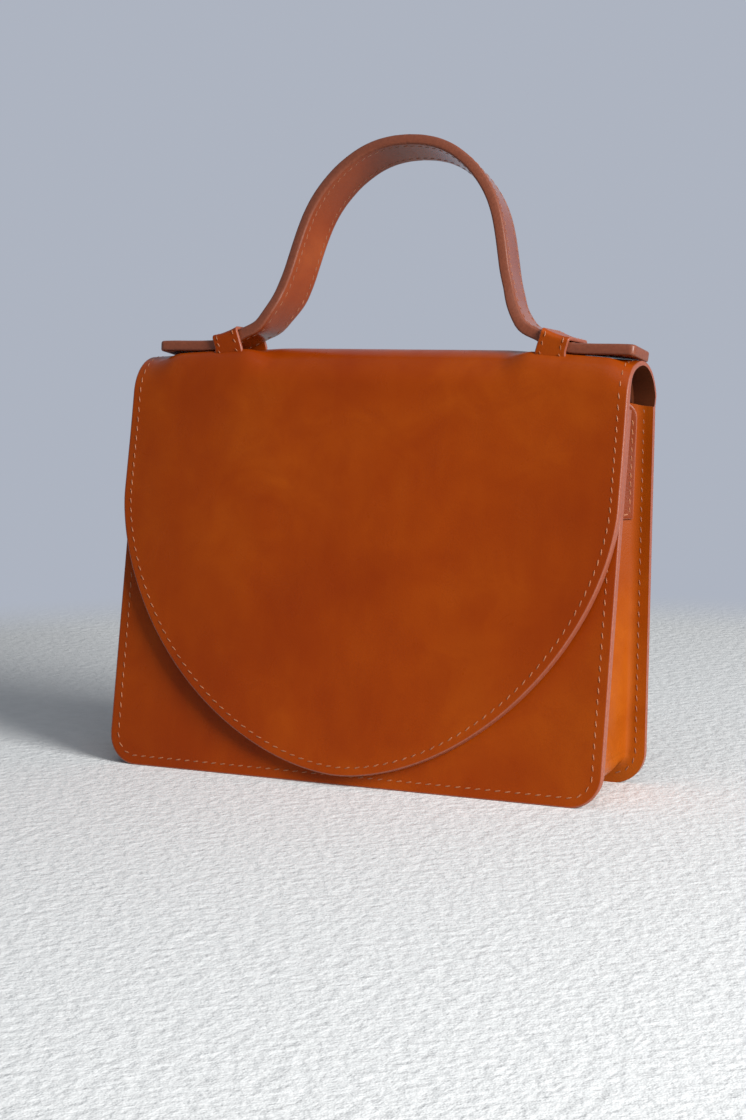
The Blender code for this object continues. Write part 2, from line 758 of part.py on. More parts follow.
def build_handle(builder):
    """The strap's arch and its two ends, which slide under the loops."""
    end, arch = strap_path()
    cut = (arch[1] - arch[0]).normalized() * LAYER_GAP / 2
    end[-1] = end[-1] - cut
    arch[0] = arch[0] + cut
    whole = [Vector((-p.x, p.y)) for p in arch] + list(reversed(arch[:-1]))
    add_strap_layers(builder, "", "handle", whole, 1)
    add_strap_layers(builder, "_end_right", "strap_end_right", end, 1)
    add_strap_layers(builder, "_end_left", "strap_end_left", end, -1)


def strap_height(out):
    """The height over the crest of the strap's upper face, at a distance from its middle."""
    end, arch = strap_path()
    line = end + arch[1:]
    for before, after in zip(line, line[1:]):
        if after.x <= out <= before.x:
            share = (before.x - out) / (before.x - after.x)
            return before.y + (after.y - before.y) * share
    return line[0].y


def loop_profile():
    """A loop's section across the strap: rows of (across, is roof, out across, out up)."""
    half = STRAP_WIDTH / 2 + LOOP_SIDE_GAP
    rows = []
    for side in (-1, 1):
        turn = [(side * half, "foot", side, 0.0)]
        for i in range(CORNER_STEPS + 1):
            angle = math.pi / 2 * i / CORNER_STEPS
            turn.append((side * half, "corner", side * math.cos(angle), math.sin(angle)))
        rows += turn if side < 0 else list(reversed(turn))
    return rows


def build_loops(builder):
    """The two loops sewn to the top, which follow the strap as it starts to rise."""
    profile = loop_profile()
    for name, mirror in (("loop_right", 1), ("loop_left", -1)):
        bm, grid = slab(len(profile), 4, LOOP_LEATHER)
        for vertex, (row, along, below) in grid.items():
            side, kind, out_across, out_up = profile[row]
            base = LOOP_INNER + along * LOOP_LENGTH
            if kind == "foot":
                across = side + out_across * below
                seat = WRAP.radius + LAYER_GAP
                drop = math.sqrt(seat**2 - (across + HANDLE_BACK) ** 2) - WRAP.radius
                height = drop - fall(base)
            else:
                across = side + out_across * (below + LOOP_CORNER) - math.copysign(LOOP_CORNER, side)
                low = math.tan(LOOP_LEAN) * (strap_height(base) + LOOP_ROOF_GAP)
                roof = strap_height(base + low) + LOOP_ROOF_GAP
                height = roof + out_up * (below + LOOP_CORNER) - LOOP_CORNER
            out = base + math.tan(LOOP_LEAN) * max(0.0, height)
            y = WRAP.centre_y + HANDLE_BACK + across
            vertex.co = Vector((HANDLE_RIGHT + mirror * out, y, CREST_HEIGHT + height))
        piece = new_object(name, mesh_from(bm, name), builder.pieces, LEATHER)
        builder.hang(piece, "top")


def build_bag():
    """Build every piece of the bag on its body."""
    clear_scene()
    builder = Builder()
    back_y, back_z = WRAP.place(BACK_SPLIT, 0.0)
    flap_y, flap_z = WRAP.place(FLAP_SPLIT, 0.0)
    handle_y = WRAP.centre_y + HANDLE_BACK
    end_out = (STRAP_FLAT_END + STRAP_HALF_SPAN) / 2
    builder.add_body("root", None, (0, 0, 0))
    builder.add_body("top", "root", (0, back_y, back_z))
    builder.add_body("flap", "top", (0, flap_y, flap_z))
    builder.add_body("handle", "top", (HANDLE_RIGHT, handle_y, CREST_HEIGHT))
    builder.add_body("strap_end_right", "handle", (HANDLE_RIGHT + end_out, handle_y, CREST_HEIGHT))
    builder.add_body("strap_end_left", "handle", (HANDLE_RIGHT - end_out, handle_y, CREST_HEIGHT))
    build_front(builder)
    build_back(builder)
    gusset = build_gusset(builder)
    build_tabs(builder, gusset)
    build_top(builder)
    build_flap(builder)
    build_handle(builder)
    build_loops(builder)
    builder.centre_depth()
    return builder


build_bag()
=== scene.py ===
"""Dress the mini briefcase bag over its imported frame.

The hide is modelled as it is made: each piece of leather is cut flat, its edges are
rounded and burnished, and then it is formed over the bag. Stitches follow the same flat
cutting lines. All sizes are in metres, in the row's frame: the origin lies on the ground
under the middle of the bag, +X is its right as one faces it and +Y its back.
"""

from __future__ import annotations

import logging
import math
from dataclasses import dataclass, field
from enum import Enum
from typing import Callable, Sequence

import bmesh
import bpy
from mathutils import Matrix, Vector

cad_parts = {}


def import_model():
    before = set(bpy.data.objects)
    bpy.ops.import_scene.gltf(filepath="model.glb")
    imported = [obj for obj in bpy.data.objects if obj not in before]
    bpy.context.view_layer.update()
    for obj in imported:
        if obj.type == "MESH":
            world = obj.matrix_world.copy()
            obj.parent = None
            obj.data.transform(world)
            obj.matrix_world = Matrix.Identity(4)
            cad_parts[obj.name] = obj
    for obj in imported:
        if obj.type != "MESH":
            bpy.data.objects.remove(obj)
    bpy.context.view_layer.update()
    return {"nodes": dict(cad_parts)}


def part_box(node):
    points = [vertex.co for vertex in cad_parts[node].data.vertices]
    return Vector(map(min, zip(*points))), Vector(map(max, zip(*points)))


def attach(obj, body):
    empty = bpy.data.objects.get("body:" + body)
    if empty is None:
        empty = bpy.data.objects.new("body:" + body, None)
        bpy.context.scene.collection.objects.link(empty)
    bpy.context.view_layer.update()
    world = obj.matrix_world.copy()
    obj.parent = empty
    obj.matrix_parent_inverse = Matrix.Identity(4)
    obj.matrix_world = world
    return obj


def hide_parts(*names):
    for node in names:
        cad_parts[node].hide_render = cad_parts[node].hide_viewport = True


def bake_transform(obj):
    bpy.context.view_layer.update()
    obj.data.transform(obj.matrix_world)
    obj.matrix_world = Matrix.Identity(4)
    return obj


LOG = logging.getLogger("briefcase_bag")

SHARP_ANGLE = math.radians(52.0)
# Heights and places closer together than these are the same.
SAME_LEVEL = 1e-7
SAME_PLACE = 1e-6
# Glued sheets meet this far inside the nominal inner face of a panel's leather.
GLUE_LINE = 0.0001

Form = Callable[[Vector], Vector]
Triple = tuple[float, float, float]
Mesh = bmesh.types.BMesh
Piece = bpy.types.Object
Material = bpy.types.Material
Socket = bpy.types.NodeSocket


class Face(Enum):
    """The material index of each kind of surface on a cut piece."""

    GRAIN = 0
    EDGE = 1
    BACK = 2


class Side(Enum):
    """The bag's sides, as the sign of X."""

    RIGHT = 1
    LEFT = -1


def smooth_step(value: float) -> float:
    """Ease from 0 to 1 while value runs from 0 to 1."""
    share = min(1.0, max(0.0, value))
    return share * share * (3.0 - 2.0 * share)


def bump(value: float, middle: float, width: float) -> float:
    """A bell of height 1 round a middle."""
    return math.exp(-(((value - middle) / width) ** 2) / 2.0)


def spread(start: float, end: float, step: float) -> list[float]:
    """Evenly spaced values from start to end, no further apart than step."""
    count = max(1, math.ceil(abs(end - start) / step))
    return [start + (end - start) * i / count for i in range(count + 1)]


def smooth_line(points: Sequence[Vector], steps: int) -> list[Vector]:
    """A smooth line through points.

    Args:
        points: The points it passes through.
        steps: How many pieces lie between each two of them.

    Returns:
        The line's own points, both ends included.
    """
    ends = [points[0] * 2 - points[1], *points, points[-1] * 2 - points[-2]]
    line = []
    for i in range(1, len(ends) - 2):
        a, b, c, d = ends[i - 1 : i + 3]
        for step in range(steps):
            t = step / steps
            bend = (a * 2 - b * 5 + c * 4 - d) * t * t + (b * 3 - a - c * 3 + d) * t**3
            line.append((b * 2 + (c - a) * t + bend) / 2)
    return line + [points[-1]]


def inset_line(points: Sequence[Vector], distance: float) -> list[Vector]:
    """Move an open flat line to its left by a distance.

    Args:
        points: The line, as flat (x, y) points.
        distance: How far to move it.

    Returns:
        The moved points, one for each.
    """
    moved = []
    for i, point in enumerate(points):
        way = points[min(i + 1, len(points) - 1)] - points[max(i - 1, 0)]
        way.normalize()
        moved.append(point + Vector((-way.y, way.x)) * distance)
    return moved


@dataclass(frozen=True)
class Hide:
    """The face of the hide that runs up the back, over the top and down the flap.

    A flat-cut point is (across, along, out): along counts from the foot of the bend at
    the back, and out is the height over the outer face.
    """

    base_depth: float = 0.053
    crest: float = 0.172
    front_lean: float = math.radians(11.1)
    back_lean: float = math.radians(3.0)
    flap_stack: float = 0.00435
    middle: float = 0.0
    handle_right: float = 0.0043
    fall_start: float = 0.0457
    fall_ease: float = 0.010
    fall_slope: float = 0.066
    drape_foot: float = 0.100
    drape_ease: float = 0.050
    pull: float = 0.0038
    pull_from: float = 0.0645
    pull_to: float = 0.0945
    pull_fade: float = 0.0150
    pull_start: float = 0.0032
    pull_depth: float = 0.0044
    pull_run: float = 0.0048

    @property
    def radius(self) -> float:
        """The outer radius of the bend over the top."""
        reach = self.base_depth + self.flap_stack / math.cos(self.front_lean)
        taper = math.tan(self.front_lean) - math.tan(self.back_lean)
        slants = 1 / math.cos(self.front_lean) + 1 / math.cos(self.back_lean) - taper
        return (reach - self.crest * taper) / slants

    @property
    def centre(self) -> Vector:
        """The (y, z) of the bend's centre."""
        z = self.crest - self.radius
        rise = math.sin(self.back_lean) * z - self.radius
        y = self.base_depth / 2 + rise / math.cos(self.back_lean)
        return Vector((y + self.middle, z))

    @property
    def turn(self) -> float:
        """How far the bend turns."""
        return math.pi - self.front_lean + self.back_lean

    @property
    def crest_along(self) -> float:
        """The distance along the hide at the crest."""
        return self.radius * (math.pi / 2 + self.back_lean)

    @property
    def bend_length(self) -> float:
        """The length of the bend along the hide."""
        return self.radius * self.turn

    @property
    def back_length(self) -> float:
        """The length of the back, from its bottom edge to the bend."""
        foot = self.centre.y - self.radius * math.sin(self.back_lean)
        return foot / math.cos(self.back_lean)

    def fall(self, across: float) -> float:
        """How far the crest has fallen towards its side ends.

        Args:
            across: The distance from the handle's middle, to either side.

        Returns:
            The fall, 0 between the loops.
        """
        out = abs(across) - self.fall_start
        if out <= 0.0:
            return 0.0
        if out < self.fall_ease:
            return self.fall_slope * out * out / (2 * self.fall_ease)
        return self.fall_slope * (out - self.fall_ease / 2)

    def lift(self, across: float, drop: float) -> float:
        """How far the front half of the bend rises to a loop and its strap end.

        Args:
            across: The distance from the handle's middle, to either side.
            drop: How far the place lies below the crest.

        Returns:
            The rise, 0 far from the strap ends.
        """
        aside = max(0.0, self.pull_from - abs(across), abs(across) - self.pull_to)
        share = 1 - smooth_step(aside / self.pull_fade)
        onset = smooth_step(drop / self.pull_start)
        past = max(0.0, drop - self.pull_depth)
        return self.pull * share * onset * bump(past, 0.0, self.pull_run)

    def drape(self, point: Vector, held: float = 0.0) -> Vector:
        """Let a point of the leather fall with the crest, and rise by what holds it up.

        Args:
            point: The point, on a bag with a level crest.
            held: How far it is held up.

        Returns:
            Its place on the draped bag.
        """
        across = point.x - self.handle_right
        height = smooth_step((point.z - self.drape_foot) / self.drape_ease)
        return Vector((point.x, point.y, point.z - self.fall(across) * height + held))

    def form(self, flat: Vector) -> Vector:
        """Bend a flat-cut point to its place on the bag.

        Args:
            flat: The point, as (across, along, out).

        Returns:
            Its place in space. The whole thickness rises as its outer face does.
        """
        centre, radius = self.centre, self.radius
        angle = min(self.turn, max(0.0, flat.y / radius))
        facing = angle - self.back_lean
        out = Vector((math.cos(facing), math.sin(facing)))
        onward = Vector((-out.y, out.x))
        face = centre + out * radius + onward * (flat.y - angle * radius)
        held = 0.0
        if face.x < centre.x:
            held = self.lift(flat.x - self.handle_right, self.crest - face.y)
        spot = face + out * flat.z
        return self.drape(Vector((flat.x, spot.x, spot.y)), held)

    def front_form(self, flat: Vector) -> Vector:
        """Place a flat-cut point on the leaning front panel.

        Args:
            flat: The point, as (across, up, out).

        Returns:
            Its place in space.
        """
        lean = self.front_lean
        y = flat.y * math.sin(lean) - flat.z * math.cos(lean) - self.base_depth / 2
        z = flat.y * math.cos(lean) + flat.z * math.sin(lean)
        return self.drape(Vector((flat.x, y + self.middle, max(0.0, z))))


class Nodes:
    """Builds one procedural material, node by node."""

    def __init__(self, name: str) -> None:
        """Start a material with an empty tree but for its shader."""
        self.material = bpy.data.materials.new(name)
        self.material.use_nodes = True
        self.tree = self.material.node_tree
        self.shader = self.tree.nodes["Principled BSDF"]

    def add(self, kind: str, **values: object) -> bpy.types.Node:
        """Add a node.

        Args:
            kind: Its type.
            values: Its properties and its unlinked inputs by name, with _ for a space.

        Returns:
            The node.
        """
        node = self.tree.nodes.new(kind)
        for key, value in values.items():
            if hasattr(node, key):
                setattr(node, key, value)
            else:
                node.inputs[key.replace("_", " ")].default_value = value
        return node

    def link(self, source: Socket, target: Socket) -> None:
        """Link two sockets."""
        self.tree.links.new(source, target)

    def give(self, target: Socket, value: object) -> None:
        """Link a socket to a node's input, or set the input to a plain value."""
        if isinstance(value, bpy.types.NodeSocket):
            self.link(value, target)
        else:
            target.default_value = value

    def shade(self, **values: object) -> None:
        """Give the shader's inputs their sockets or plain values, by name."""
        for key, value in values.items():
            self.give(self.shader.inputs[key.replace("_", " ")], value)

    def place(self, stretch: Triple = (1, 1, 1)) -> Socket:
        """Object coordinates, stretched."""
        mapping = self.add("ShaderNodeMapping", Scale=stretch)
        self.link(self.add("ShaderNodeTexCoord").outputs["Object"], mapping.inputs["Vector"])
        return mapping.outputs["Vector"]

    def noise(
        self,
        scale: float,
        detail: float = 2.0,
        roughness: float = 0.5,
        distortion: float = 0.0,
        stretch: Triple = (1, 1, 1),
    ) -> Socket:
        """A noise pattern on object coordinates.

        Args:
            scale: How many of its cells lie on a metre.
            detail: How many finer layers it has.
            roughness: How strong the finer layers are.
            distortion: How much it is warped.
            stretch: What the coordinates are multiplied by.

        Returns:
            The pattern, as a factor.
        """
        node = self.add(
            "ShaderNodeTexNoise",
            Scale=scale,
            Detail=detail,
            Roughness=roughness,
            Distortion=distortion,
        )
        self.link(self.place(stretch), node.inputs["Vector"])
        return node.outputs["Fac"]

    def ramp(self, source: Socket, stops: Sequence[tuple[float, Triple]]) -> Socket:
        """A colour ramp over a factor.

        Args:
            source: The factor.
            stops: The ramp's stops, as (place, colour).

        Returns:
            The colour.
        """
        node = self.add("ShaderNodeValToRGB")
        elements = node.color_ramp.elements
        while len(elements) < len(stops):
            elements.new(0.5)
        for element, (position, colour) in zip(elements, stops):
            element.position = position
            element.color = (*colour, 1.0)
        self.link(source, node.inputs["Fac"])
        return node.outputs["Color"]

    def spread_to(
        self, source: Socket, low: float, high: float, new: tuple[float, float]
    ) -> Socket:
        """Map a factor's range to a new one.

        Args:
            source: The factor.
            low: Where its range starts.
            high: Where its range ends.
            new: The values that it takes at both.

        Returns:
            The mapped value.
        """
        node = self.add(
            "ShaderNodeMapRange", From_Min=low, From_Max=high, To_Min=new[0], To_Max=new[1]
        )
        self.link(source, node.inputs["Value"])
        return node.outputs["Result"]

    def mix(self, factor: Socket, first: Socket, second: Sequence[float]) -> Socket:
        """Mix a plain colour into another.

        Args:
            factor: The plain colour's share.
            first: The colour that it goes into.
            second: The plain colour.

        Returns:
            The mixed colour.
        """
        node = self.add("ShaderNodeMix", data_type="RGBA")
        self.link(factor, node.inputs["Factor"])
        self.link(first, node.inputs[6])
        node.inputs[7].default_value = (*second, 1.0)
        return node.outputs[2]

    def raise_surface(self, *layers: tuple[Socket, float]) -> None:
        """Chain bump layers into the shader's normal.

        Args:
            layers: The layers, each a (height factor, depth in metres).
        """
        last = None
        for height, depth in layers:
            node = self.add("ShaderNodeBump", Strength=1.0, Distance=depth)
            self.link(height, node.inputs["Height"])
            if last is not None:
                self.link(last, node.inputs["Normal"])
            last = node.outputs["Normal"]
        self.link(last, self.shader.inputs["Normal"])


@dataclass(frozen=True)
class BridleLeather:
    """Waxed vegetable-tanned leather: cloudy colour, fine pores and a soft polish."""

    name: str
    dark: Triple
    body: Triple
    light: Triple
    roughness: tuple[float, float] = (0.26, 0.40)
    coat: float = 0.12
    pore_depth: float = 0.000022
    specular: float = 0.10
    # Share of the darkening towards the bag's sides, which is partly painted shade.
    sides: float = 0.0
    side_start: float = 0.035
    side_end: float = 0.115
    side_shade: float = 0.55

    def make(self) -> Material:
        """Build the material."""
        nodes = Nodes(self.name)
        cloud = nodes.noise(16.0, 3.0, 0.55, 0.6)
        colour = nodes.ramp(cloud, ((0.30, self.dark), (0.50, self.body), (0.68, self.light)))
        patch = nodes.noise(42.0, 4.0, 0.6, 1.2)
        colour = nodes.mix(nodes.spread_to(patch, 0.42, 0.66, (0.0, 0.38)), colour, self.dark)
        flow = nodes.noise(90.0, 3.0, 0.6, 0.4, (1.0, 1.0, 0.16))
        colour = nodes.mix(nodes.spread_to(flow, 0.45, 0.75, (0.0, 0.20)), colour, self.light)
        grain = nodes.noise(900.0, 3.0, 0.7)
        colour = nodes.mix(nodes.spread_to(grain, 0.50, 0.72, (0.0, 0.16)), colour, self.dark)
        # Painted shade in part: the colour darkens towards both sides of the bag.
        if self.sides > 0:
            colour = nodes.mix(self.aside(nodes), colour, [v * self.side_shade for v in self.body])
        wax = nodes.noise(60.0, 4.0, 0.65, 0.8)
        nodes.shade(
            Base_Color=colour,
            Roughness=nodes.spread_to(wax, 0.35, 0.68, self.roughness),
            Specular_IOR_Level=self.specular,
            Coat_Weight=self.coat,
            Coat_Roughness=0.14,
            Coat_IOR=1.30,
        )
        pores = nodes.add("ShaderNodeTexVoronoi", feature="SMOOTH_F1", Scale=1500.0, Smoothness=0.6)
        nodes.link(nodes.place(), pores.inputs["Vector"])
        swell = nodes.noise(30.0, 2.0, 0.5)
        fine = (grain, self.pore_depth * 0.6)
        nodes.raise_surface((swell, 0.0004), fine, (pores.outputs["Distance"], self.pore_depth))
        return nodes.material

    def aside(self, nodes: Nodes) -> Socket:
        """The darkening towards both sides of the bag: partly the leather's own tone, partly
        painted shade that deepens the flap's shadow on the front's lower left.

        Args:
            nodes: The material under construction.

        Returns:
            The darkening's share.
        """
        apart = nodes.add("ShaderNodeSeparateXYZ")
        nodes.link(nodes.place(), apart.inputs["Vector"])
        across = nodes.add("ShaderNodeMath", operation="ABSOLUTE")
        nodes.link(apart.outputs["X"], across.inputs[0])
        distance = across.outputs["Value"]
        return nodes.spread_to(distance, self.side_start, self.side_end, (0.0, self.sides))


@dataclass(frozen=True)
class BurnishedEdge:
    """A cut edge that has been stained, waxed and rubbed smooth."""

    name: str
    dark: Triple
    light: Triple

    def make(self) -> Material:
        """Build the material."""
        nodes = Nodes(self.name)
        fibre = nodes.noise(900.0, 4.0, 0.65, 0.3)
        rub = nodes.noise(480.0, 3.0)
        nodes.shade(
            Base_Color=nodes.ramp(fibre, ((0.34, self.dark), (0.66, self.light))),
            Roughness=nodes.spread_to(rub, 0.3, 0.7, (0.34, 0.56)),
            Specular_IOR_Level=0.30,
            Coat_Weight=0.15,
            Coat_Roughness=0.3,
        )
        nodes.raise_surface((fibre, 0.00003), (rub, 0.00003))
        return nodes.material


@dataclass(frozen=True)
class WaxedThread:
    """Twisted waxed thread."""

    name: str = "waxed_thread"
    dark: Triple = (0.25, 0.070, 0.018)
    light: Triple = (0.41, 0.142, 0.048)

    def make(self) -> Material:
        """Build the material."""
        nodes = Nodes(self.name)
        ply = nodes.noise(1400.0, 2.0, 0.5)
        colour = nodes.ramp(ply, ((0.35, self.dark), (0.62, self.light)))
        nodes.shade(Base_Color=colour, Roughness=0.55, Sheen_Weight=0.2)
        nodes.raise_surface((ply, 0.00008))
        return nodes.material


@dataclass(frozen=True)
class NickelDisc:
    """The plated steel of the hidden magnets."""

    name: str = "nickel_disc"
    dark: Triple = (0.45, 0.45, 0.47)
    light: Triple = (0.62, 0.62, 0.64)

    def make(self) -> Material:
        """Build the material."""
        nodes = Nodes(self.name)
        haze = nodes.noise(500.0, 3.0)
        nodes.shade(
            Base_Color=nodes.ramp(haze, ((0.3, self.dark), (0.7, self.light))),
            Metallic=1.0,
            Roughness=nodes.spread_to(haze, 0.3, 0.7, (0.25, 0.4)),
        )
        return nodes.material


def made(finish: BridleLeather | BurnishedEdge | WaxedThread | NickelDisc) -> Material:
    """A field that is filled with a finish's own material."""
    return field(default_factory=finish.make)


@dataclass
class Finishes:
    """Every material of the bag, made once."""

    hide: Material = made(
        BridleLeather(
            "cognac_bridle_leather",
            (0.262, 0.031, 0.0009),
            (0.315, 0.044, 0.0012),
            (0.370, 0.062, 0.0022),
            # Darker towards both sides: partly the hide's own tone, partly painted shade.
            sides=0.30,
        )
    )
    gusset: Material = made(
        BridleLeather(
            "tan_gusset_leather",
            (0.245, 0.040, 0.0014),
            (0.300, 0.056, 0.0026),
            (0.360, 0.080, 0.0055),
        )
    )
    strap: Material = made(
        BridleLeather(
            "cognac_strap_leather",
            (0.170, 0.026, 0.0030),
            (0.225, 0.038, 0.0045),
            (0.290, 0.060, 0.0085),
            roughness=(0.18, 0.30),
            coat=0.25,
            specular=0.20,
        )
    )
    lining: Material = made(
        BridleLeather(
            "brown_lining_leather",
            (0.045, 0.010, 0.003),
            (0.080, 0.019, 0.006),
            (0.120, 0.034, 0.010),
            roughness=(0.5, 0.7),
            coat=0.0,
        )
    )
    edge: Material = made(
        BurnishedEdge("burnished_edge", (0.25, 0.064, 0.032), (0.31, 0.088, 0.046))
    )
    thread: Material = made(WaxedThread())
    strap_edge: Material = made(
        BurnishedEdge("strap_edge", (0.165, 0.042, 0.018), (0.215, 0.058, 0.026))
    )
    strap_thread: Material = made(
        WaxedThread("strap_thread", (0.17, 0.050, 0.016), (0.32, 0.110, 0.042))
    )
    nickel: Material = made(NickelDisc())

    @property
    def grain(self) -> list[Material]:
        """The hide's materials, in the order of Face."""
        return [self.hide, self.edge, self.lining]


def new_piece(name: str, bm: Mesh, materials: Sequence[Material]) -> Piece:
    """Make an object of a finished bmesh, with smooth faces.

    Args:
        name: The piece's name.
        bm: Its mesh, in the row's frame. It is freed.
        materials: Its materials, in the order of Face.

    Returns:
        The object, at the origin.
    """
    if bm.calc_volume(signed=True) < 0:
        bmesh.ops.reverse_faces(bm, faces=bm.faces)
    mesh = bpy.data.meshes.new(name)
    bm.to_mesh(mesh)
    bm.free()
    mesh.shade_smooth()
    mesh.set_sharp_from_angle(angle=SHARP_ANGLE)
    for material in materials:
        mesh.materials.append(material)
    piece = bpy.data.objects.new(name, mesh)
    bpy.context.scene.collection.objects.link(piece)
    LOG.info("%s: %d faces", name, len(mesh.polygons))
    return piece


@dataclass
class FlatCut:
    """A piece of leather cut flat from an outline, with rounded edges.

    Attributes:
        outline: The closed outline, counter-clockwise, as (across, along).
        top: How far out its outer face lies.
        thickness: Its thickness, downwards.
        face_round: The radius of the outer face's edge, 0 to leave it square.
        back_round: The radius of the inner face's edge, 0 to leave it square.
        square_at: Along values whose edges stay square, where another piece goes on.
        band: The width of the faces that frame each flat face, over its edge's radius.
    """

    outline: Sequence[Vector]
    top: float
    thickness: float
    face_round: float
    back_round: float
    square_at: Sequence[float] = ()
    band: float = 0.0007

    def build(self, rows: Sequence[float], columns: Sequence[float]) -> Mesh:
        """Cut the piece and score it, so that it can bend.

        Args:
            rows: The along values of the scores that run across.
            columns: The across values of the scores that run along.

        Returns:
            The flat piece, with its grain, edge and back marked.
        """
        bm = bmesh.new()
        face = bm.faces.new([bm.verts.new((p.x, p.y, self.top)) for p in self.outline])
        face.normal_update()
        if face.normal.z < 0:
            face.normal_flip()
        low = bmesh.ops.extrude_face_region(bm, geom=[face], use_keep_orig=True)["geom"]
        under = [v for v in low if isinstance(v, bmesh.types.BMVert)]
        bmesh.ops.translate(bm, verts=under, vec=(0, 0, -self.thickness))
        bmesh.ops.recalc_face_normals(bm, faces=bm.faces)
        for face in bm.faces:
            face.material_index = Face.EDGE.value
        self.soften(bm, self.top, self.face_round, Face.GRAIN)
        self.soften(bm, self.top - self.thickness, self.back_round, Face.BACK)
        for normal, places in (((0, 1, 0), rows), ((1, 0, 0), columns)):
            for at in places:
                geom = [*bm.verts, *bm.edges, *bm.faces]
                bmesh.ops.bisect_plane(
                    bm, geom=geom, dist=SAME_PLACE, plane_co=Vector(normal) * at, plane_no=normal
                )
        return bm

    def soften(self, bm: Mesh, level: float, radius: float, kind: Face) -> None:
        """Frame the flat face at a level with a narrow band and round its edge.

        Args:
            bm: The piece, still without scores.
            level: The height of the face.
            radius: The radius of its edge, 0 to leave it square.
            kind: The surface that the face and its band become.
        """
        flats = [f for f in bm.faces if all(abs(v.co.z - level) < SAME_LEVEL for v in f.verts)]
        rim = {e for f in flats for e in f.edges}
        width = radius + self.band
        band = bmesh.ops.inset_region(
            bm, faces=flats, thickness=width, use_even_offset=True, use_boundary=True
        )["faces"]
        for face in [*flats, *band]:
            if face.is_valid:
                face.material_index = kind.value
        if radius <= 0:
            return
        kept = [e for e in rim if e.is_valid and not self.is_square(e)]
        before = set(bm.faces)
        bmesh.ops.bevel(
            bm,
            geom=kept,
            offset=radius,
            segments=3,
            profile=0.5,
            affect="EDGES",
            material=-1,
            clamp_overlap=True,
        )
        for face in bm.faces:
            if face not in before:
                flat = all(abs(v.co.z - level) < SAME_LEVEL for v in face.verts)
                face.material_index = (kind if flat else Face.EDGE).value

    def is_square(self, edge: bmesh.types.BMEdge) -> bool:
        """Whether an edge lies where another piece goes on."""
        return any(
            all(abs(v.co.y - at) < SAME_PLACE for v in edge.verts) for at in self.square_at
        )


def form_piece(bm: Mesh, form: Form) -> None:
    """Move each vertex of a flat-cut piece to its formed place."""
    for vertex in bm.verts:
        vertex.co = form(vertex.co.copy())
    bm.normal_update()


@dataclass
class Stitching:
    """Rows of slanted saddle stitches, gathered into one mesh.

    Attributes:
        pitch: The distance from one stitch to the next.
        length: A stitch's length.
        width: The thread's width.
        slant: How far each stitch turns off its row.
        height_share: Half a stitch's height over the leather, as a share of its width.
        float_share: How far its middle lies over the leather, as a share of its width.
        feel: How far off a place the leather's tilt is felt.
    """

    pitch: float = 0.0042
    length: float = 0.0025
    width: float = 0.00052
    slant: float = math.radians(12.0)
    height_share: float = 0.36
    float_share: float = 0.06
    feel: float = 0.0005
    bm: Mesh = field(default_factory=bmesh.new)

    def sew(self, line: Sequence[Vector], form: Form, out: float, turn: int = 1) -> None:
        """Sew one row along a flat line.

        Args:
            line: The row, as flat (across, along) points.
            form: Takes a flat-cut point to its formed place.
            out: The height of the leather's face that the row lies on.
            turn: 1 on an outer face, -1 on an inner one.
        """
        lengths = [0.0]
        for before, after in zip(line, line[1:]):
            lengths.append(lengths[-1] + (after - before).length)
        count = max(1, round(lengths[-1] / self.pitch))
        step = lengths[-1] / count
        piece = 0
        for i in range(count):
            reach = (i + 0.5) * step
            while piece < len(line) - 2 and lengths[piece + 1] < reach:
                piece += 1
            span = lengths[piece + 1] - lengths[piece]
            share = (reach - lengths[piece]) / span if span > 0 else 0.0
            flat = line[piece].lerp(line[piece + 1], share)
            way = (line[piece + 1] - line[piece]).normalized()
            self.stitch(flat, way, form, out, turn)

    def stitch(self, flat: Vector, way: Vector, form: Form, out: float, turn: int) -> None:
        """Lay one stitch on the formed leather.

        Args:
            flat: The flat place of its middle.
            way: The flat way of its row.
            form: Takes a flat-cut point to its formed place.
            out: The height of the leather's face.
            turn: 1 on an outer face, -1 on an inner one.
        """
        low = form(Vector((flat.x, flat.y, out)))
        normal = (form(Vector((flat.x, flat.y, out + turn * self.feel))) - low).normalized()
        step = 2 * self.feel
        ahead = form(Vector((flat.x + way.x * step, flat.y + way.y * step, out))) - low
        ahead = (ahead - normal * ahead.dot(normal)).normalized()
        beside = normal.cross(ahead)
        along = ahead * math.cos(self.slant) + beside * math.sin(self.slant)
        across = normal.cross(along)
        turned = Matrix((along, across, normal)).transposed().to_4x4()
        half = (self.length / 2, self.width / 2, self.width * self.height_share, 1.0)
        middle = Matrix.Translation(low + normal * self.width * self.float_share)
        bmesh.ops.create_uvsphere(
            self.bm,
            u_segments=8,
            v_segments=6,
            radius=1.0,
            matrix=middle @ turned @ Matrix.Diagonal(half) @ Matrix.Rotation(math.pi / 2, 4, "Y"),
        )

    def finish(self, name: str, thread: Material) -> Piece:
        """Make the gathered stitches one object."""
        return new_piece(name, self.bm, [thread])


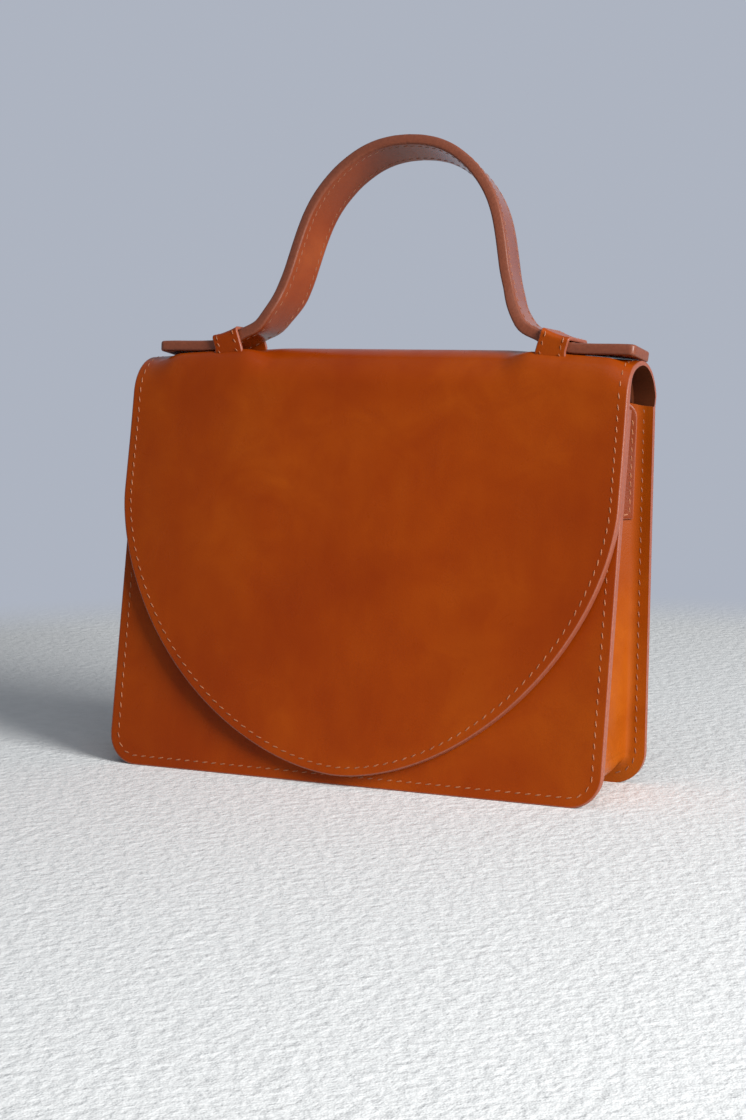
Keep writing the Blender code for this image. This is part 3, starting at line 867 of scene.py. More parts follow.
@dataclass
class Body:
    """The front and back panels, the flap and the top, all on the hide's lines."""

    hide: Hide
    finishes: Finishes
    panel_width: float = 0.219
    panel_corner: float = 0.013
    panel_thickness: float = 0.0018
    front_height: float = 0.154
    flap_width: float = 0.220
    flap_straight: float = 0.0448
    flap_round: float = 0.1115
    flap_power: float = 1.8
    flap_thickness: float = 0.0039
    flange_thickness: float = 0.0011
    shoulder: float = 0.004
    lining_start: float = 0.0005
    edge_round: float = 0.0005
    panel_margin: float = 0.0039
    flap_margin: float = 0.0034
    fold_reach: float = 0.007
    skive: float = 0.50
    skive_side: float = 0.0070
    skive_run: float = 0.0040
    skive_along: float = 0.012
    sag_run: float = 0.150
    sag_depth: float = 0.0009
    wave_depth: float = 0.00025
    waves_across: float = 41.0
    waves_down: float = 33.0
    corner_steps: int = 12
    tip_steps: int = 60
    bend_step: float = math.radians(3.0)
    fine_step: float = 0.002
    row_step: float = 0.006
    panel_step: float = 0.008
    edge_step: float = 0.010
    columns_end: float = 0.108
    rows_end: float = 0.160

    def panel_line(self, foot: float, top: float, inset: float) -> list[Vector]:
        """A panel's edge from its top left, round the bottom, to its top right.

        Args:
            foot: The along value of the panel's bottom edge.
            top: The along value of both its ends.
            inset: How far inside the edge the line runs.

        Returns:
            The line, as (across, along).
        """
        corner = self.panel_corner - inset
        half = self.panel_width / 2 - inset
        low = foot + inset
        line = [Vector((-half, u)) for u in spread(top, low + corner, self.edge_step)[:-1]]
        for i in range(self.corner_steps + 1):
            angle = math.pi / 2 * i / self.corner_steps
            across = -half + corner * (1 - math.cos(angle))
            line.append(Vector((across, low + corner * (1 - math.sin(angle)))))
        base = spread(-half + corner, half - corner, self.edge_step)
        line += [Vector((x, low)) for x in base[1:-1]]
        return line + [Vector((-p.x, p.y)) for p in reversed(line) if p.x < -half + corner + 1e-9]

    def flap_line(self, top: float, inset: float) -> list[Vector]:
        """The flap's edge from its top left, round its tip, to its top right.

        Args:
            top: The along value of both its ends.
            inset: How far inside the edge the line runs.

        Returns:
            The line, as (across, along).
        """
        half = self.flap_width / 2
        straight = self.hide.bend_length + self.flap_straight
        side = spread(top, straight, self.row_step)[:-1]
        line = [Vector((-half, u)) for u in side]
        power = 2 / self.flap_power
        for i in range(-self.tip_steps, self.tip_steps + 1):
            angle = math.pi / 2 * (1 - abs(i) / self.tip_steps)
            across = math.copysign(half * math.cos(angle) ** power, i)
            line.append(Vector((across, straight + self.flap_round * math.sin(angle) ** power)))
        line += [Vector((half, u)) for u in reversed(side)]
        return inset_line(line, -inset) if inset else line

    def sag(self, flat: Vector) -> float:
        """How far the flap's face swells off the front.

        Args:
            flat: The place on the flat-cut flap.

        Returns:
            The swell, 0 at the flap's edges and over the top.
        """
        down = flat.y - self.hide.bend_length
        if down <= 0:
            return 0.0
        across = flat.x / (self.flap_width / 2)
        fill = math.sin(min(1.0, down / self.sag_run) * math.pi) * max(0.0, 1 - across * across)
        wave = math.sin(flat.x * self.waves_across + 0.7) * math.sin(down * self.waves_down + 0.4)
        return self.sag_depth * fill + self.wave_depth * fill * wave

    def flap_form(self, flat: Vector) -> Vector:
        """Form a flat-cut point of the flap, with its swell and its skived ends.

        Args:
            flat: The point, as (across, along, out).

        Returns:
            Its place in space.
        """
        aside = abs(flat.x) - (self.flap_width / 2 - self.skive_side - self.skive_run)
        before = self.hide.bend_length - flat.y
        beside = self.skive * smooth_step(aside / self.skive_run)
        thin = beside * smooth_step(before / self.skive_along)
        return self.hide.form(Vector((flat.x, flat.y, flat.z * (1 - thin) + self.sag(flat))))

    def bend_rows(self, start: float, end: float) -> list[float]:
        """Rows close enough to bend over the top, and wider ones beyond it.

        Args:
            start: The along value that all rows lie past.
            end: The along value that all rows lie before.

        Returns:
            The rows' along values.
        """
        foot = self.hide.bend_length
        rows = spread(-self.hide.back_length, 0.0, self.panel_step)[1:-1]
        rows += spread(0.0, foot, self.hide.radius * self.bend_step)
        rows += spread(foot, foot + self.rows_end, self.row_step)[1:]
        return [u for u in rows if start + 1e-5 < u < end - 1e-5]

    def columns(self) -> list[float]:
        """Columns that lie closest beside the loops and under the strap ends."""
        start = self.hide.pull_from - self.hide.pull_fade
        fine = spread(start, self.hide.pull_to + self.hide.pull_fade / 2, self.fine_step)
        right = [self.hide.handle_right + x for x in fine]
        left = [self.hide.handle_right - x for x in reversed(fine)]
        middle = spread(left[-1], right[0], self.row_step)[1:-1]
        first = spread(-self.columns_end, left[0], self.row_step)[:-1]
        last = spread(right[-1], self.columns_end, self.row_step)[1:]
        return [*first, *left, *middle, *right, *last]

    def fold_blend(self, piece: Piece, first: str) -> None:
        """Bake a piece's transform into its mesh, and find the foot of the fold line that it
        crosses.

        Args:
            piece: The piece, which crosses the line.
            first: The body before the line.
        """
        if first == "body":
            low = self.hide.form(Vector((0, 0, 0)))
            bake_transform(piece)
        else:
            low = self.hide.form(Vector((0, self.hide.bend_length, 0)))
            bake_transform(piece)

    def build_flap(self) -> None:
        """The front half of the top and the flap, of two layers stitched together."""
        top = self.hide.crest_along
        outline = self.flap_line(top, 0.0)
        edge = self.edge_round
        cut = FlatCut(list(reversed(outline)), 0.0, self.flap_thickness, edge, edge, [top])
        bm = cut.build(self.bend_rows(top, 1.0), self.columns())
        form_piece(bm, self.flap_form)
        piece = new_piece("flap", bm, self.finishes.grain)
        self.fold_blend(piece, "top")
        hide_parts("flap_leather", "flap_lining")
        stitching = Stitching()
        line = self.flap_line(top, self.flap_margin)
        stitching.sew(line, self.flap_form, 0.0)
        stitching.sew(line, self.flap_form, -self.flap_thickness, -1)
        rows = stitching.finish("flap_stitching", self.finishes.thread)
        self.fold_blend(rows, "top")

    def build_back(self) -> None:
        """The back panel with the back half of the top, and the top's lining behind it."""
        top = self.hide.crest_along
        foot = -self.hide.back_length
        outline = self.panel_line(foot, 0.0, 0.0)
        widen = self.flap_width / 2
        outline = [Vector((-widen, top)), Vector((-widen, self.shoulder)), *outline]
        outline += [Vector((widen, self.shoulder)), Vector((widen, top))]
        depth = self.panel_thickness - GLUE_LINE
        cut = FlatCut(outline, 0.0, depth, self.edge_round, 0.0, [top])
        bm = cut.build(self.bend_rows(foot, top), self.columns())
        form_piece(bm, self.hide.form)
        piece = new_piece("back", bm, self.finishes.grain)
        self.fold_blend(piece, "body")
        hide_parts("back_panel", "top_leather")
        inner_end = widen - self.skive_side - self.skive_run / 2
        start = self.lining_start
        strip = [Vector((-inner_end, top)), Vector((-inner_end, start))]
        strip += [Vector((inner_end, start)), Vector((inner_end, top))]
        cut = FlatCut(strip, -depth, self.flap_thickness - depth, 0.0, self.edge_round, [top])
        bm = cut.build(self.bend_rows(start, top), self.columns())
        form_piece(bm, self.hide.form)
        lining = new_piece("top_lining_hide", bm, [self.finishes.lining] * len(Face))
        self.fold_blend(lining, "body")
        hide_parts("top_lining")
        stitching = Stitching()
        inner = self.panel_line(foot, 0.0, self.panel_margin)
        edge = widen - self.flap_margin
        side = spread(top, self.shoulder, 0.003)
        line = [Vector((-edge, u)) for u in side] + inner
        line += [Vector((edge, u)) for u in spread(self.shoulder, top, 0.003)]
        stitching.sew(line, self.hide.form, 0.0)
        rows = stitching.finish("back_stitching", self.finishes.thread)
        self.fold_blend(rows, "body")
        inside = Stitching()
        inside.sew(inner, self.hide.form, -self.panel_thickness - self.flange_thickness, -1)
        rows = inside.finish("back_flange_stitching", self.finishes.strap_thread)
        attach(rows, "body")

    def build_front(self) -> None:
        """The front panel and its stitching, seen on both faces."""
        top = self.front_height / math.cos(self.hide.front_lean)
        outline = self.panel_line(0.0, top, 0.0)
        depth = self.panel_thickness - GLUE_LINE
        cut = FlatCut(outline, 0.0, depth, self.edge_round, 0.0)
        bm = cut.build(spread(0.012, top - 0.001, self.panel_step), self.columns())
        form_piece(bm, self.hide.front_form)
        piece = new_piece("front", bm, self.finishes.grain)
        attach(piece, "body")
        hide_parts("front_panel")
        stitching = Stitching()
        line = self.panel_line(0.0, top, self.panel_margin)
        inside = -self.panel_thickness - self.flange_thickness
        stitching.sew(line, self.hide.front_form, 0.0)
        stitching.sew(line, self.hide.front_form, inside, -1)
        rows = stitching.finish("front_stitching", self.finishes.thread)
        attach(rows, "body")

    def build(self) -> None:
        """Build the body's pieces."""
        self.build_front()
        self.build_back()
        self.build_flap()


@dataclass
class Gusset:
    """The bellows down both sides and the strip along the base, in one long strip."""

    hide: Hide
    finishes: Finishes
    panel_width: float = 0.219
    corner: float = 0.013
    panel: float = 0.0018
    leather: float = 0.0011
    top: float = 0.1535
    peak: float = 0.0045
    peak_run: float = 0.020
    flange_base: float = 0.0080
    flange_top: float = 0.0044
    bend: float = 0.0028
    bend_share: float = 0.45
    bend_steps: int = 6
    depth: float = 0.018
    depth_power: float = 1.3
    crease: float = 0.0014
    bow: float = 0.003
    bow_run: float = 0.022
    bow_flat: float = 0.40
    foot_run: float = 0.026
    tab_width: float = 0.013
    tab_low: float = 0.106
    tab_high: float = 0.155
    tab_leather: float = 0.0014
    tab_from_fold: float = 0.0022
    tab_round: float = 0.00035
    tab_margin: float = 0.0018
    tab_gap: float = 0.00005
    tab_steps: int = 16

    @property
    def straight(self) -> float:
        """The length of the strip's straight side."""
        return self.top - self.corner

    @property
    def corner_run(self) -> float:
        """The length of the strip's outer edge round a corner."""
        return self.corner * math.pi / 2

    def front_y(self, z: float, depth: float) -> float:
        """The y of the front panel at a height, a depth behind its outer face."""
        lean = self.hide.front_lean
        foot = self.hide.middle - self.hide.base_depth / 2
        return foot + z * math.tan(lean) + depth / math.cos(lean)

    def back_y(self, z: float, depth: float) -> float:
        """The y of the back panel at a height, a depth before its outer face."""
        lean = self.hide.back_lean
        foot = self.hide.middle + self.hide.base_depth / 2
        return foot + z * math.tan(lean) - depth / math.cos(lean)

    def half_depth(self, z: float) -> float:
        """Half the space between the flanges' faces at a height."""
        inside = self.panel + self.leather
        return (self.back_y(z, inside) - self.front_y(z, inside)) / 2

    def middle(self, z: float) -> float:
        """The y halfway between the panels at a height."""
        return (self.back_y(z, self.panel) + self.front_y(z, self.panel)) / 2

    def flange(self, z: float) -> float:
        """The flange's width at a height."""
        rise = min(1.0, max(0.0, (z - self.flange_base) / (self.top - self.flange_base)))
        return self.flange_base + (self.flange_top - self.flange_base) * rise

    def bellows(self, z: float, half: float) -> tuple[float, float]:
        """The fold of the bellows at a height.

        Args:
            z: The height.
            half: Half the space between the flanges' faces there.

        Returns:
            How deep it folds in, and half the flat at its crease.
        """
        rise = max(0.0, (z - self.flange_base) / (self.top - self.flange_base))
        depth = self.depth * math.sin(math.pi / 2 * min(1.0, rise)) ** self.depth_power
        facet = half * (1 - (z - self.flange_base) / half)
        return depth, min(half, max(self.crease, facet))

    def edge(self, station: float) -> tuple[Vector, Vector]:
        """The panels' outline, which the strip follows.

        Args:
            station: The length along it from the top.

        Returns:
            Its (x, z) there, and the way inwards from it.
        """
        half = self.panel_width / 2
        base_half = half - self.corner
        if station <= self.straight:
            return Vector((half, self.top - station)), Vector((-1, 0))
        turned = station - self.straight
        if turned <= self.corner_run:
            angle = turned / self.corner
            inward = Vector((-math.cos(angle), math.sin(angle)))
            return Vector((base_half, self.corner)) - inward * self.corner, inward
        return Vector((base_half - (turned - self.corner_run), 0.0)), Vector((0, 1))

    def section(self, station: float) -> list[tuple[float, float]]:
        """The corners of the strip's section.

        Args:
            station: The length along the outline from the top.

        Returns:
            The corners from front to back, as (inwards, share of the half depth).
        """
        turned = max(0.0, station - self.straight)
        z = self.edge(station - turned)[0].y
        half = self.half_depth(z)
        depth, crease = self.bellows(z, half)
        share = min(1 - self.bend / half, crease / half)
        bowed = smooth_step(turned / self.bow_run)
        depth += (-self.bow - depth) * bowed
        share += (self.bow_flat - share) * bowed
        flange = self.flange(z) if turned <= 0 else self.flange_base
        front = [(0.0, -1.0), (flange, -1.0), (flange + depth, -share)]
        return front + [(inwards, -across) for inwards, across in reversed(front)]

    def spot(self, station: float, inwards: float, share: float) -> Vector:
        """The place in space of a point of the section.

        Args:
            station: The length along the outline from the top.
            inwards: How far inside the outline the point lies.
            share: Its share of the half depth, from -1 in front to 1 at the back.

        Returns:
            The place, on a bag with a level crest.
        """
        point, inward = self.edge(station)
        flat = point + inward * inwards
        y = self.middle(flat.y) + share * self.half_depth(flat.y)
        peak = self.peak * (1 - abs(share)) * smooth_step(1 - station / self.peak_run)
        return Vector((flat.x, y, flat.y + peak))

    def row(self, station: float) -> list[Vector]:
        """The strip's outer face at a station, with its bends rounded.

        Args:
            station: The length along the outline from the top.

        Returns:
            The face's points, from front to back.
        """
        corners = [self.spot(station, inwards, share) for inwards, share in self.section(station)]
        points = [corners[0]]
        for i in range(1, len(corners) - 1):
            before = corners[i - 1] - corners[i]
            after = corners[i + 1] - corners[i]
            shares = (before.length * self.bend_share, after.length * self.bend_share)
            reach = min(self.bend, *shares)
            start = corners[i] + before.normalized() * reach
            end = corners[i] + after.normalized() * reach
            for step in range(self.bend_steps + 1):
                t = step / self.bend_steps
                points.append(start * (1 - t) ** 2 + corners[i] * 2 * t * (1 - t) + end * t * t)
        points.append(corners[-1])
        return points

    def stations(self) -> list[float]:
        """Stations from the top to the middle of the base, closest round the corner."""
        corner_end = self.straight + self.corner_run
        marks = [0.0]
        for end, step in (
            (self.straight - self.foot_run, 0.004),
            (self.straight, 0.0015),
            (corner_end, 0.0010),
            (corner_end + self.bow_run, 0.002),
            (corner_end + self.panel_width / 2 - self.corner, 0.006),
        ):
            marks += spread(marks[-1], end, step)[1:]
        return marks

    def build_strip(self) -> None:
        """The whole strip, from the top of one side round the base to the other."""
        right = [[self.hide.drape(p) for p in self.row(s)] for s in self.stations()]
        left = [
            [self.hide.drape(Vector((-p.x, p.y, p.z))) for p in self.row(s)]
            for s in reversed(self.stations()[:-1])
        ]
        outer = right + left
        bm = shell(outer, behind(outer, self.leather + GLUE_LINE))
        for vertex in bm.verts:
            vertex.co.z = max(0.0, vertex.co.z)
        leathers = [self.finishes.gusset, self.finishes.edge, self.finishes.lining]
        piece = new_piece("gusset", bm, leathers)
        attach(piece, "body")
        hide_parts("gusset_left", "gusset_right", "gusset_base")

    def tab_form(self, side: Side) -> Form:
        """The form that lays a tab on the bellows' back half.

        Args:
            side: The side of the bag.

        Returns:
            The form, which takes a flat-cut point (across, height, out) to its place.
        """

        def place(flat: Vector) -> Vector:
            """Lay one point on the bellows.

            Args:
                flat: The flat-cut point.

            Returns:
                Its place in space.
            """
            z = flat.y
            half = self.half_depth(z)
            depth, crease = self.bellows(z, half)
            fold = Vector((self.panel_width / 2 - self.flange(z), self.middle(z) + half))
            inner = Vector((fold.x - depth, self.middle(z) + crease))
            inward = (inner - fold).normalized()
            outward = Vector((-inward.y, inward.x))
            if outward.y > 0:
                outward = -outward
            across = self.tab_from_fold + self.tab_width / 2 - flat.x
            spot = fold + inward * across + outward * (self.tab_leather + flat.z + self.tab_gap)
            return self.hide.drape(Vector((spot.x * side.value, spot.y, z)))

        return place

    def build_tabs(self) -> None:
        """The tab on each side, sewn round its edge."""
        half = self.tab_width / 2
        centre = self.tab_high - half
        inset = half - self.tab_margin
        low = self.tab_low + self.tab_margin
        row = [Vector(p) for p in ((inset, centre), (inset, low), (-inset, low), (-inset, centre))]
        line = [Vector((-half, centre)), Vector((-half, self.tab_low))]
        line += [Vector((half, self.tab_low)), Vector((half, centre))]
        for i in range(1, self.tab_steps):
            angle = math.pi * i / self.tab_steps
            line.append(Vector((half * math.cos(angle), centre + half * math.sin(angle))))
        scores = spread(self.tab_low + 0.002, self.tab_high - 0.002, 0.003)
        leathers = [self.finishes.strap, self.finishes.edge, self.finishes.lining]
        for side in Side:
            cut = FlatCut(line, 0.0, self.tab_leather, self.tab_round, 0.0)
            bm = cut.build(scores, [-0.005, -0.0025, 0.0, 0.0025, 0.005])
            form = self.tab_form(side)
            form_piece(bm, form)
            piece = new_piece(f"strap_tab_piece_{side.name.lower()}", bm, leathers)
            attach(piece, "body")
            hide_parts(f"strap_tab_{side.name.lower()}")
            stitching = Stitching(pitch=0.0036, length=0.0024, width=0.00055)
            for before, after in zip(row, row[1:]):
                stitching.sew([before, after], form, 0.0)
            name = f"strap_tab_stitching_{side.name.lower()}"
            rows = stitching.finish(name, self.finishes.thread)
            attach(rows, "body")

    def build(self) -> None:
        """Build the gusset's pieces."""
        self.build_strip()
        self.build_tabs()


def behind(rows: Sequence[Sequence[Vector]], distance: float) -> list[list[Vector]]:
    """The far face of a sheet whose near face runs through rows of points.

    Args:
        rows: The near face's rows. The middle of the middle row faces down.
        distance: The sheet's thickness.

    Returns:
        The far face's rows.
    """
    last_row, last = len(rows) - 1, len(rows[0]) - 1

    def normal(j: int, i: int) -> Vector:
        """The sheet's normal at a point."""
        over = rows[j][min(i + 1, last)] - rows[j][max(i - 1, 0)]
        along = rows[min(j + 1, last_row)][i] - rows[max(j - 1, 0)][i]
        return over.cross(along).normalized()

    inwards = math.copysign(distance, normal(last_row // 2, last // 2).z)
    return [[p + normal(j, i) * inwards for i, p in enumerate(row)] for j, row in enumerate(rows)]


def shell(near: Sequence[Sequence[Vector]], far: Sequence[Sequence[Vector]]) -> Mesh:
    """A closed sheet between two faces.

    Args:
        near: The rows of its grain face, each with the same number of points.
        far: The rows of its back face, point for point.

    Returns:
        The sheet, with its grain, edge and back marked.
    """
    columns = len(near[0])
    bm = bmesh.new()
    bmesh.ops.create_grid(bm, x_segments=columns - 1, y_segments=len(near) - 1, size=0.5)
    extruded = bmesh.ops.extrude_face_region(bm, geom=list(bm.faces), use_keep_orig=True)["geom"]
    under = {v for v in extruded if isinstance(v, bmesh.types.BMVert)}
    kinds = {0: Face.GRAIN, 2: Face.EDGE, 4: Face.BACK}
    for face in bm.faces:
        face.material_index = kinds[sum(v in under for v in face.verts)].value
    for vertex in bm.verts:
        i = round((vertex.co.x + 0.5) * (columns - 1))
        j = round((vertex.co.y + 0.5) * (len(near) - 1))
        vertex.co = (far if vertex in under else near)[j][i]
    bmesh.ops.recalc_face_normals(bm, faces=bm.faces)
    return bm


@dataclass
class Handle:
    """The strap that arches over the top, and the two loops that its ends slide under."""

    hide: Hide
    finishes: Finishes
    width: float = 0.019
    thickness: float = 0.0043
    half_span: float = 0.1058
    tip_corner: float = 0.0022
    lean: float = math.radians(14.2)
    twist: float = math.radians(5.5)
    strap_gap: float = 0.0003
    end_twist: float = math.radians(11.5)
    lean_low: float = 0.004
    lean_high: float = 0.024
    back: float = 0.0003
    flat_end: float = 0.080
    arch_half: float = 0.0575
    arch_height: float = 0.0864
    edge_round: float = 0.0009
    margin: float = 0.0030
    tip_steps: int = 8
    path_steps: int = 6
    give_low: float = 0.0075
    give_high: float = 0.055
    loop_inner: float = 0.0652
    loop_length: float = 0.0128
    loop_lean: float = math.radians(17.0)
    loop_leather: float = 0.0014
    loop_face_round: float = 0.00045
    loop_back_round: float = 0.0003
    loop_corner: float = 0.0008
    loop_side_gap: float = 0.0004
    loop_roof_gap: float = 0.0005
    loop_wall: float = 0.0080
    loop_sunk: float = 0.0014
    loop_margin: float = 0.0023
    rise: tuple[tuple[float, float], ...] = (
        (1.315, 0.0392), (1.252, 0.0531), (1.200, 0.0684), (1.148, 0.0878), (1.050, 0.1157),
    )
    arch: tuple[tuple[float, float], ...] = (
        (1.0, 0.151), (0.939, 0.216), (0.899, 0.285), (0.864, 0.357), (0.838, 0.429),
        (0.812, 0.502), (0.783, 0.575), (0.746, 0.648), (0.694, 0.721), (0.621, 0.793),
        (0.520, 0.867), (0.386, 0.934), (0.256, 0.974), (0.125, 0.994), (0.0, 1.0),
    )
    path: list[Vector] = field(init=False)
    reach: list[float] = field(init=False)

    def __post_init__(self) -> None:
        """Lay out the strap's upper face from the crown to the tip, with its lengths."""
        ends = spread(self.half_span, self.flat_end, 0.004)
        flat = [Vector((u, self.flat_height(u))) for u in ends]
        points = [(x * self.arch_half, z * self.arch_height) for x, z in self.rise + self.arch]
        curved = smooth_line([flat[-1], *(Vector(p) for p in points)], self.path_steps)
        self.path = list(reversed(flat[:-1] + curved))
        self.reach = [0.0]
        for before, after in zip(self.path, self.path[1:]):
            self.reach.append(self.reach[-1] + (after - before).length)

    def flat_height(self, out: float) -> float:
        """The height of a strap end's upper face over the crest."""
        return self.thickness + self.strap_gap - self.hide.fall(out)

    def upper(self, along: float) -> tuple[Vector, Vector]:
        """The strap's upper face, seen from the front.

        Args:
            along: The length along it from the crown.

        Returns:
            Its (out from the middle, height over the crest), and the way off it.
        """
        last = len(self.path) - 1
        piece = next((i for i in range(1, last) if self.reach[i] > along), last) - 1
        span = self.reach[piece + 1] - self.reach[piece]
        share = (along - self.reach[piece]) / span
        point = self.path[piece].lerp(self.path[piece + 1], share)
        ways = []
        for i in (piece, piece + 1):
            way = self.path[min(i + 1, last)] - self.path[max(i - 1, 0)]
            ways.append(Vector((-way.y, way.x)).normalized())
        out = ways[0].lerp(ways[1], share).normalized()
        if out.y < -0.05 or (abs(out.y) <= 0.05 and out.x < 0):
            out = -out
        if along < SAME_PLACE:
            out = Vector((0.0, 1.0))
        return point, out

    def form(self, side: Side) -> Form:
        """The form that bends one half of the strap.

        Args:
            side: The half's side.

        Returns:
            The form, which takes a flat-cut point (across, from the crown, out) to its place.
        """

        def place(flat: Vector) -> Vector:
            """Bend and twist one point of the strap.

            Args:
                flat: The flat-cut point.

            Returns:
                Its place in space.
            """
            point, out = self.upper(min(self.reach[-1], max(0.0, flat.y)))
            tail = (point.x - self.flat_end) / (self.half_span - self.flat_end)
            twist = self.twist + (self.end_twist - self.twist) * smooth_step(tail)
            seat = self.hide.radius * (math.cos(self.twist) - math.cos(twist))
            spot = point + out * (seat + flat.z * math.cos(twist) - flat.x * math.sin(twist))
            across = flat.x * math.cos(twist) + flat.z * math.sin(twist)
            return self.place(spot.x * side.value, spot.y, across)

        return place

    def lean_share(self, height: float) -> float:
        """How much of its full lean the handle has at a height over the crest."""
        return smooth_step((height - self.lean_low) / (self.lean_high - self.lean_low))

    def place(self, out: float, height: float, across: float) -> Vector:
        """The place of a point of the handle, which leans back as it rises.

        Args:
            out: Its distance from the handle's middle, positive on the right.
            height: Its height over the crest, before the lean.
            across: How far back it lies across the strap.

        Returns:
            Its place in space.
        """
        lean = self.lean * self.lean_share(height)
        y = self.hide.centre.x + self.back + height * math.sin(lean) + across * math.cos(lean)
        z = self.hide.crest + height * math.cos(lean) - across * math.sin(lean)
        return Vector((self.hide.handle_right + out, y, z))

    def build_strap(self) -> None:
        """The strap in two halves that meet at the crown."""
        half = self.width / 2
        tip = self.reach[-1]
        corner = self.tip_corner
        outline = [Vector((half, 0.0)), Vector((half, tip - corner))]
        for i in range(1, self.tip_steps):
            angle = math.pi / 2 * i / self.tip_steps
            across = half - corner + corner * math.cos(angle)
            outline.append(Vector((across, tip - corner + corner * math.sin(angle))))
        outline += [Vector((half - corner, tip)), Vector((corner - half, tip))]
        outline += [Vector((-p.x, p.y)) for p in reversed(outline[:-2])]
        rows = spread(0.0, tip, 0.0015)[1:-1]
        nodes = ("handle_strap", "handle_lining")
        leathers = [self.finishes.strap, self.finishes.strap_edge, self.finishes.strap]
        for side in Side:
            cut = FlatCut(outline, 0.0, self.thickness, self.edge_round, self.edge_round, [0.0])
            bm = cut.build(rows, [-0.006, -0.003, 0.0, 0.003, 0.006])
            form = self.form(side)
            form_piece(bm, form)
            bmesh.ops.recalc_face_normals(bm, faces=bm.faces)
            name = side.name.lower()
            piece = new_piece(f"strap_{name}", bm, leathers)
            self.blend_side(piece)
            hidden = [f"{node}_end_{name}" for node in nodes]
            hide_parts(*hidden, *(nodes if side is Side.RIGHT else ()))
            stitching = Stitching(pitch=0.0036, length=0.0023, width=0.00042)
            inset = half - self.margin
            row = [Vector((inset, u)) for u in spread(0.0, tip - self.margin, 0.002)]
            for way in (1, -1):
                line = [Vector((p.x * way, p.y)) for p in row]
                stitching.sew(line, form, 0.0)
                stitching.sew(line, form, -self.thickness, -1)
            end = [Vector((inset, tip - self.margin)), Vector((-inset, tip - self.margin))]
            stitching.sew(end, form, 0.0)
            rows_piece = stitching.finish(f"strap_stitching_{name}", self.finishes.strap_thread)
            self.blend_side(rows_piece)

    def blend_side(self, piece: Piece) -> None:
        """Bake a half of the strap's transform into its mesh.

        Args:
            piece: The half of the strap, or its stitching.
        """
        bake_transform(piece)

    def height_at(self, out: float) -> float:
        """The height of the strap's upper face.

        Args:
            out: The distance from the handle's middle.

        Returns:
            The height over the crest there.
        """
        for before, after in zip(self.path, self.path[1:]):
            if before.x <= out <= after.x:
                return before.y + (after.y - before.y) * (out - before.x) / (after.x - before.x)
        return self.path[-1].y

    @property
    def loop_core(self) -> float:
        """Half the width of a loop's roof between its bends."""
        return self.width / 2 + self.loop_side_gap - self.loop_corner

    @property
    def loop_bend(self) -> float:
        """The length of a loop's outer bend from its roof to its wall."""
        return math.pi / 2 * (self.loop_corner + self.loop_leather)

    def loop_form(self, side: Side) -> Form:
        """The form that bends a loop over its strap end.

        Args:
            side: The loop's side.

        Returns:
            The form, which takes a flat-cut point (from the loop's middle, from its mouth,
            out) to its place.
        """

        def place(flat: Vector) -> Vector:
            """Bend one point of the loop.

            Args:
                flat: The flat-cut point.

            Returns:
                Its place in space.
            """
            way = math.copysign(1.0, flat.x)
            reach = abs(flat.x)
            turn = min(1.0, max(0.0, (reach - self.loop_core) / self.loop_bend)) * math.pi / 2
            wall = max(0.0, (reach - self.loop_core - self.loop_bend) / self.loop_wall)
            bend = self.loop_corner + self.loop_leather + flat.z
            across = way * (min(reach, self.loop_core) + bend * math.sin(turn))
            base = self.loop_inner + flat.y
            low = math.tan(self.loop_lean) * self.height_at(base)
            roof = self.height_at(base + low) + self.loop_roof_gap
            high = roof - self.loop_corner + bend * math.cos(turn)
            sink = self.hide.radius - math.sqrt(self.hide.radius**2 - (across + self.back) ** 2)
            held = self.hide.lift(base, sink) if across < -self.back else 0.0
            foot = held - sink - self.hide.fall(base) - self.loop_sunk
            high -= across * math.sin(self.twist)
            height = high + (foot - high) * wall
            out = base + math.tan(self.loop_lean) * max(0.0, height)
            y = self.hide.centre.x + self.back + across
            return Vector((self.hide.handle_right + side.value * out, y, self.hide.crest + height))

        return place

    def build_loops(self) -> None:
        """The two loops, with a row of stitches beside each mouth."""
        ends = self.loop_core + self.loop_bend + self.loop_wall
        half = [*spread(0.0, self.loop_core, 0.003), *spread(self.loop_core, ends, 0.0005)[1:-1]]
        columns = [-x for x in half[1:]] + half
        length = self.loop_length
        outline = [Vector(p) for p in ((-ends, 0.0), (ends, 0.0), (ends, length), (-ends, length))]
        rounds = (self.loop_face_round, self.loop_back_round)
        leathers = [self.finishes.hide, self.finishes.edge, self.finishes.hide]
        for side in Side:
            cut = FlatCut(outline, 0.0, self.loop_leather, *rounds)
            bm = cut.build(spread(0.0, length, 0.001)[1:-1], columns)
            form = self.loop_form(side)
            form_piece(bm, form)
            bmesh.ops.recalc_face_normals(bm, faces=bm.faces)
            name = side.name.lower()
            piece = new_piece(f"loop_piece_{name}", bm, leathers)
            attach(piece, "top")
            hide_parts(f"loop_{name}")
            stitching = Stitching(pitch=0.0034, length=0.0023, width=0.00052)
            for inset in (self.loop_margin, length - self.loop_margin):
                stitching.sew([Vector((x, inset)) for x in spread(-ends, ends, 0.001)], form, 0.0)
            rows = stitching.finish(f"loop_stitching_{name}", self.finishes.thread)
            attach(rows, "top")

    def build(self) -> None:
        """Build the handle's pieces."""
        self.build_strap()
        self.build_loops()


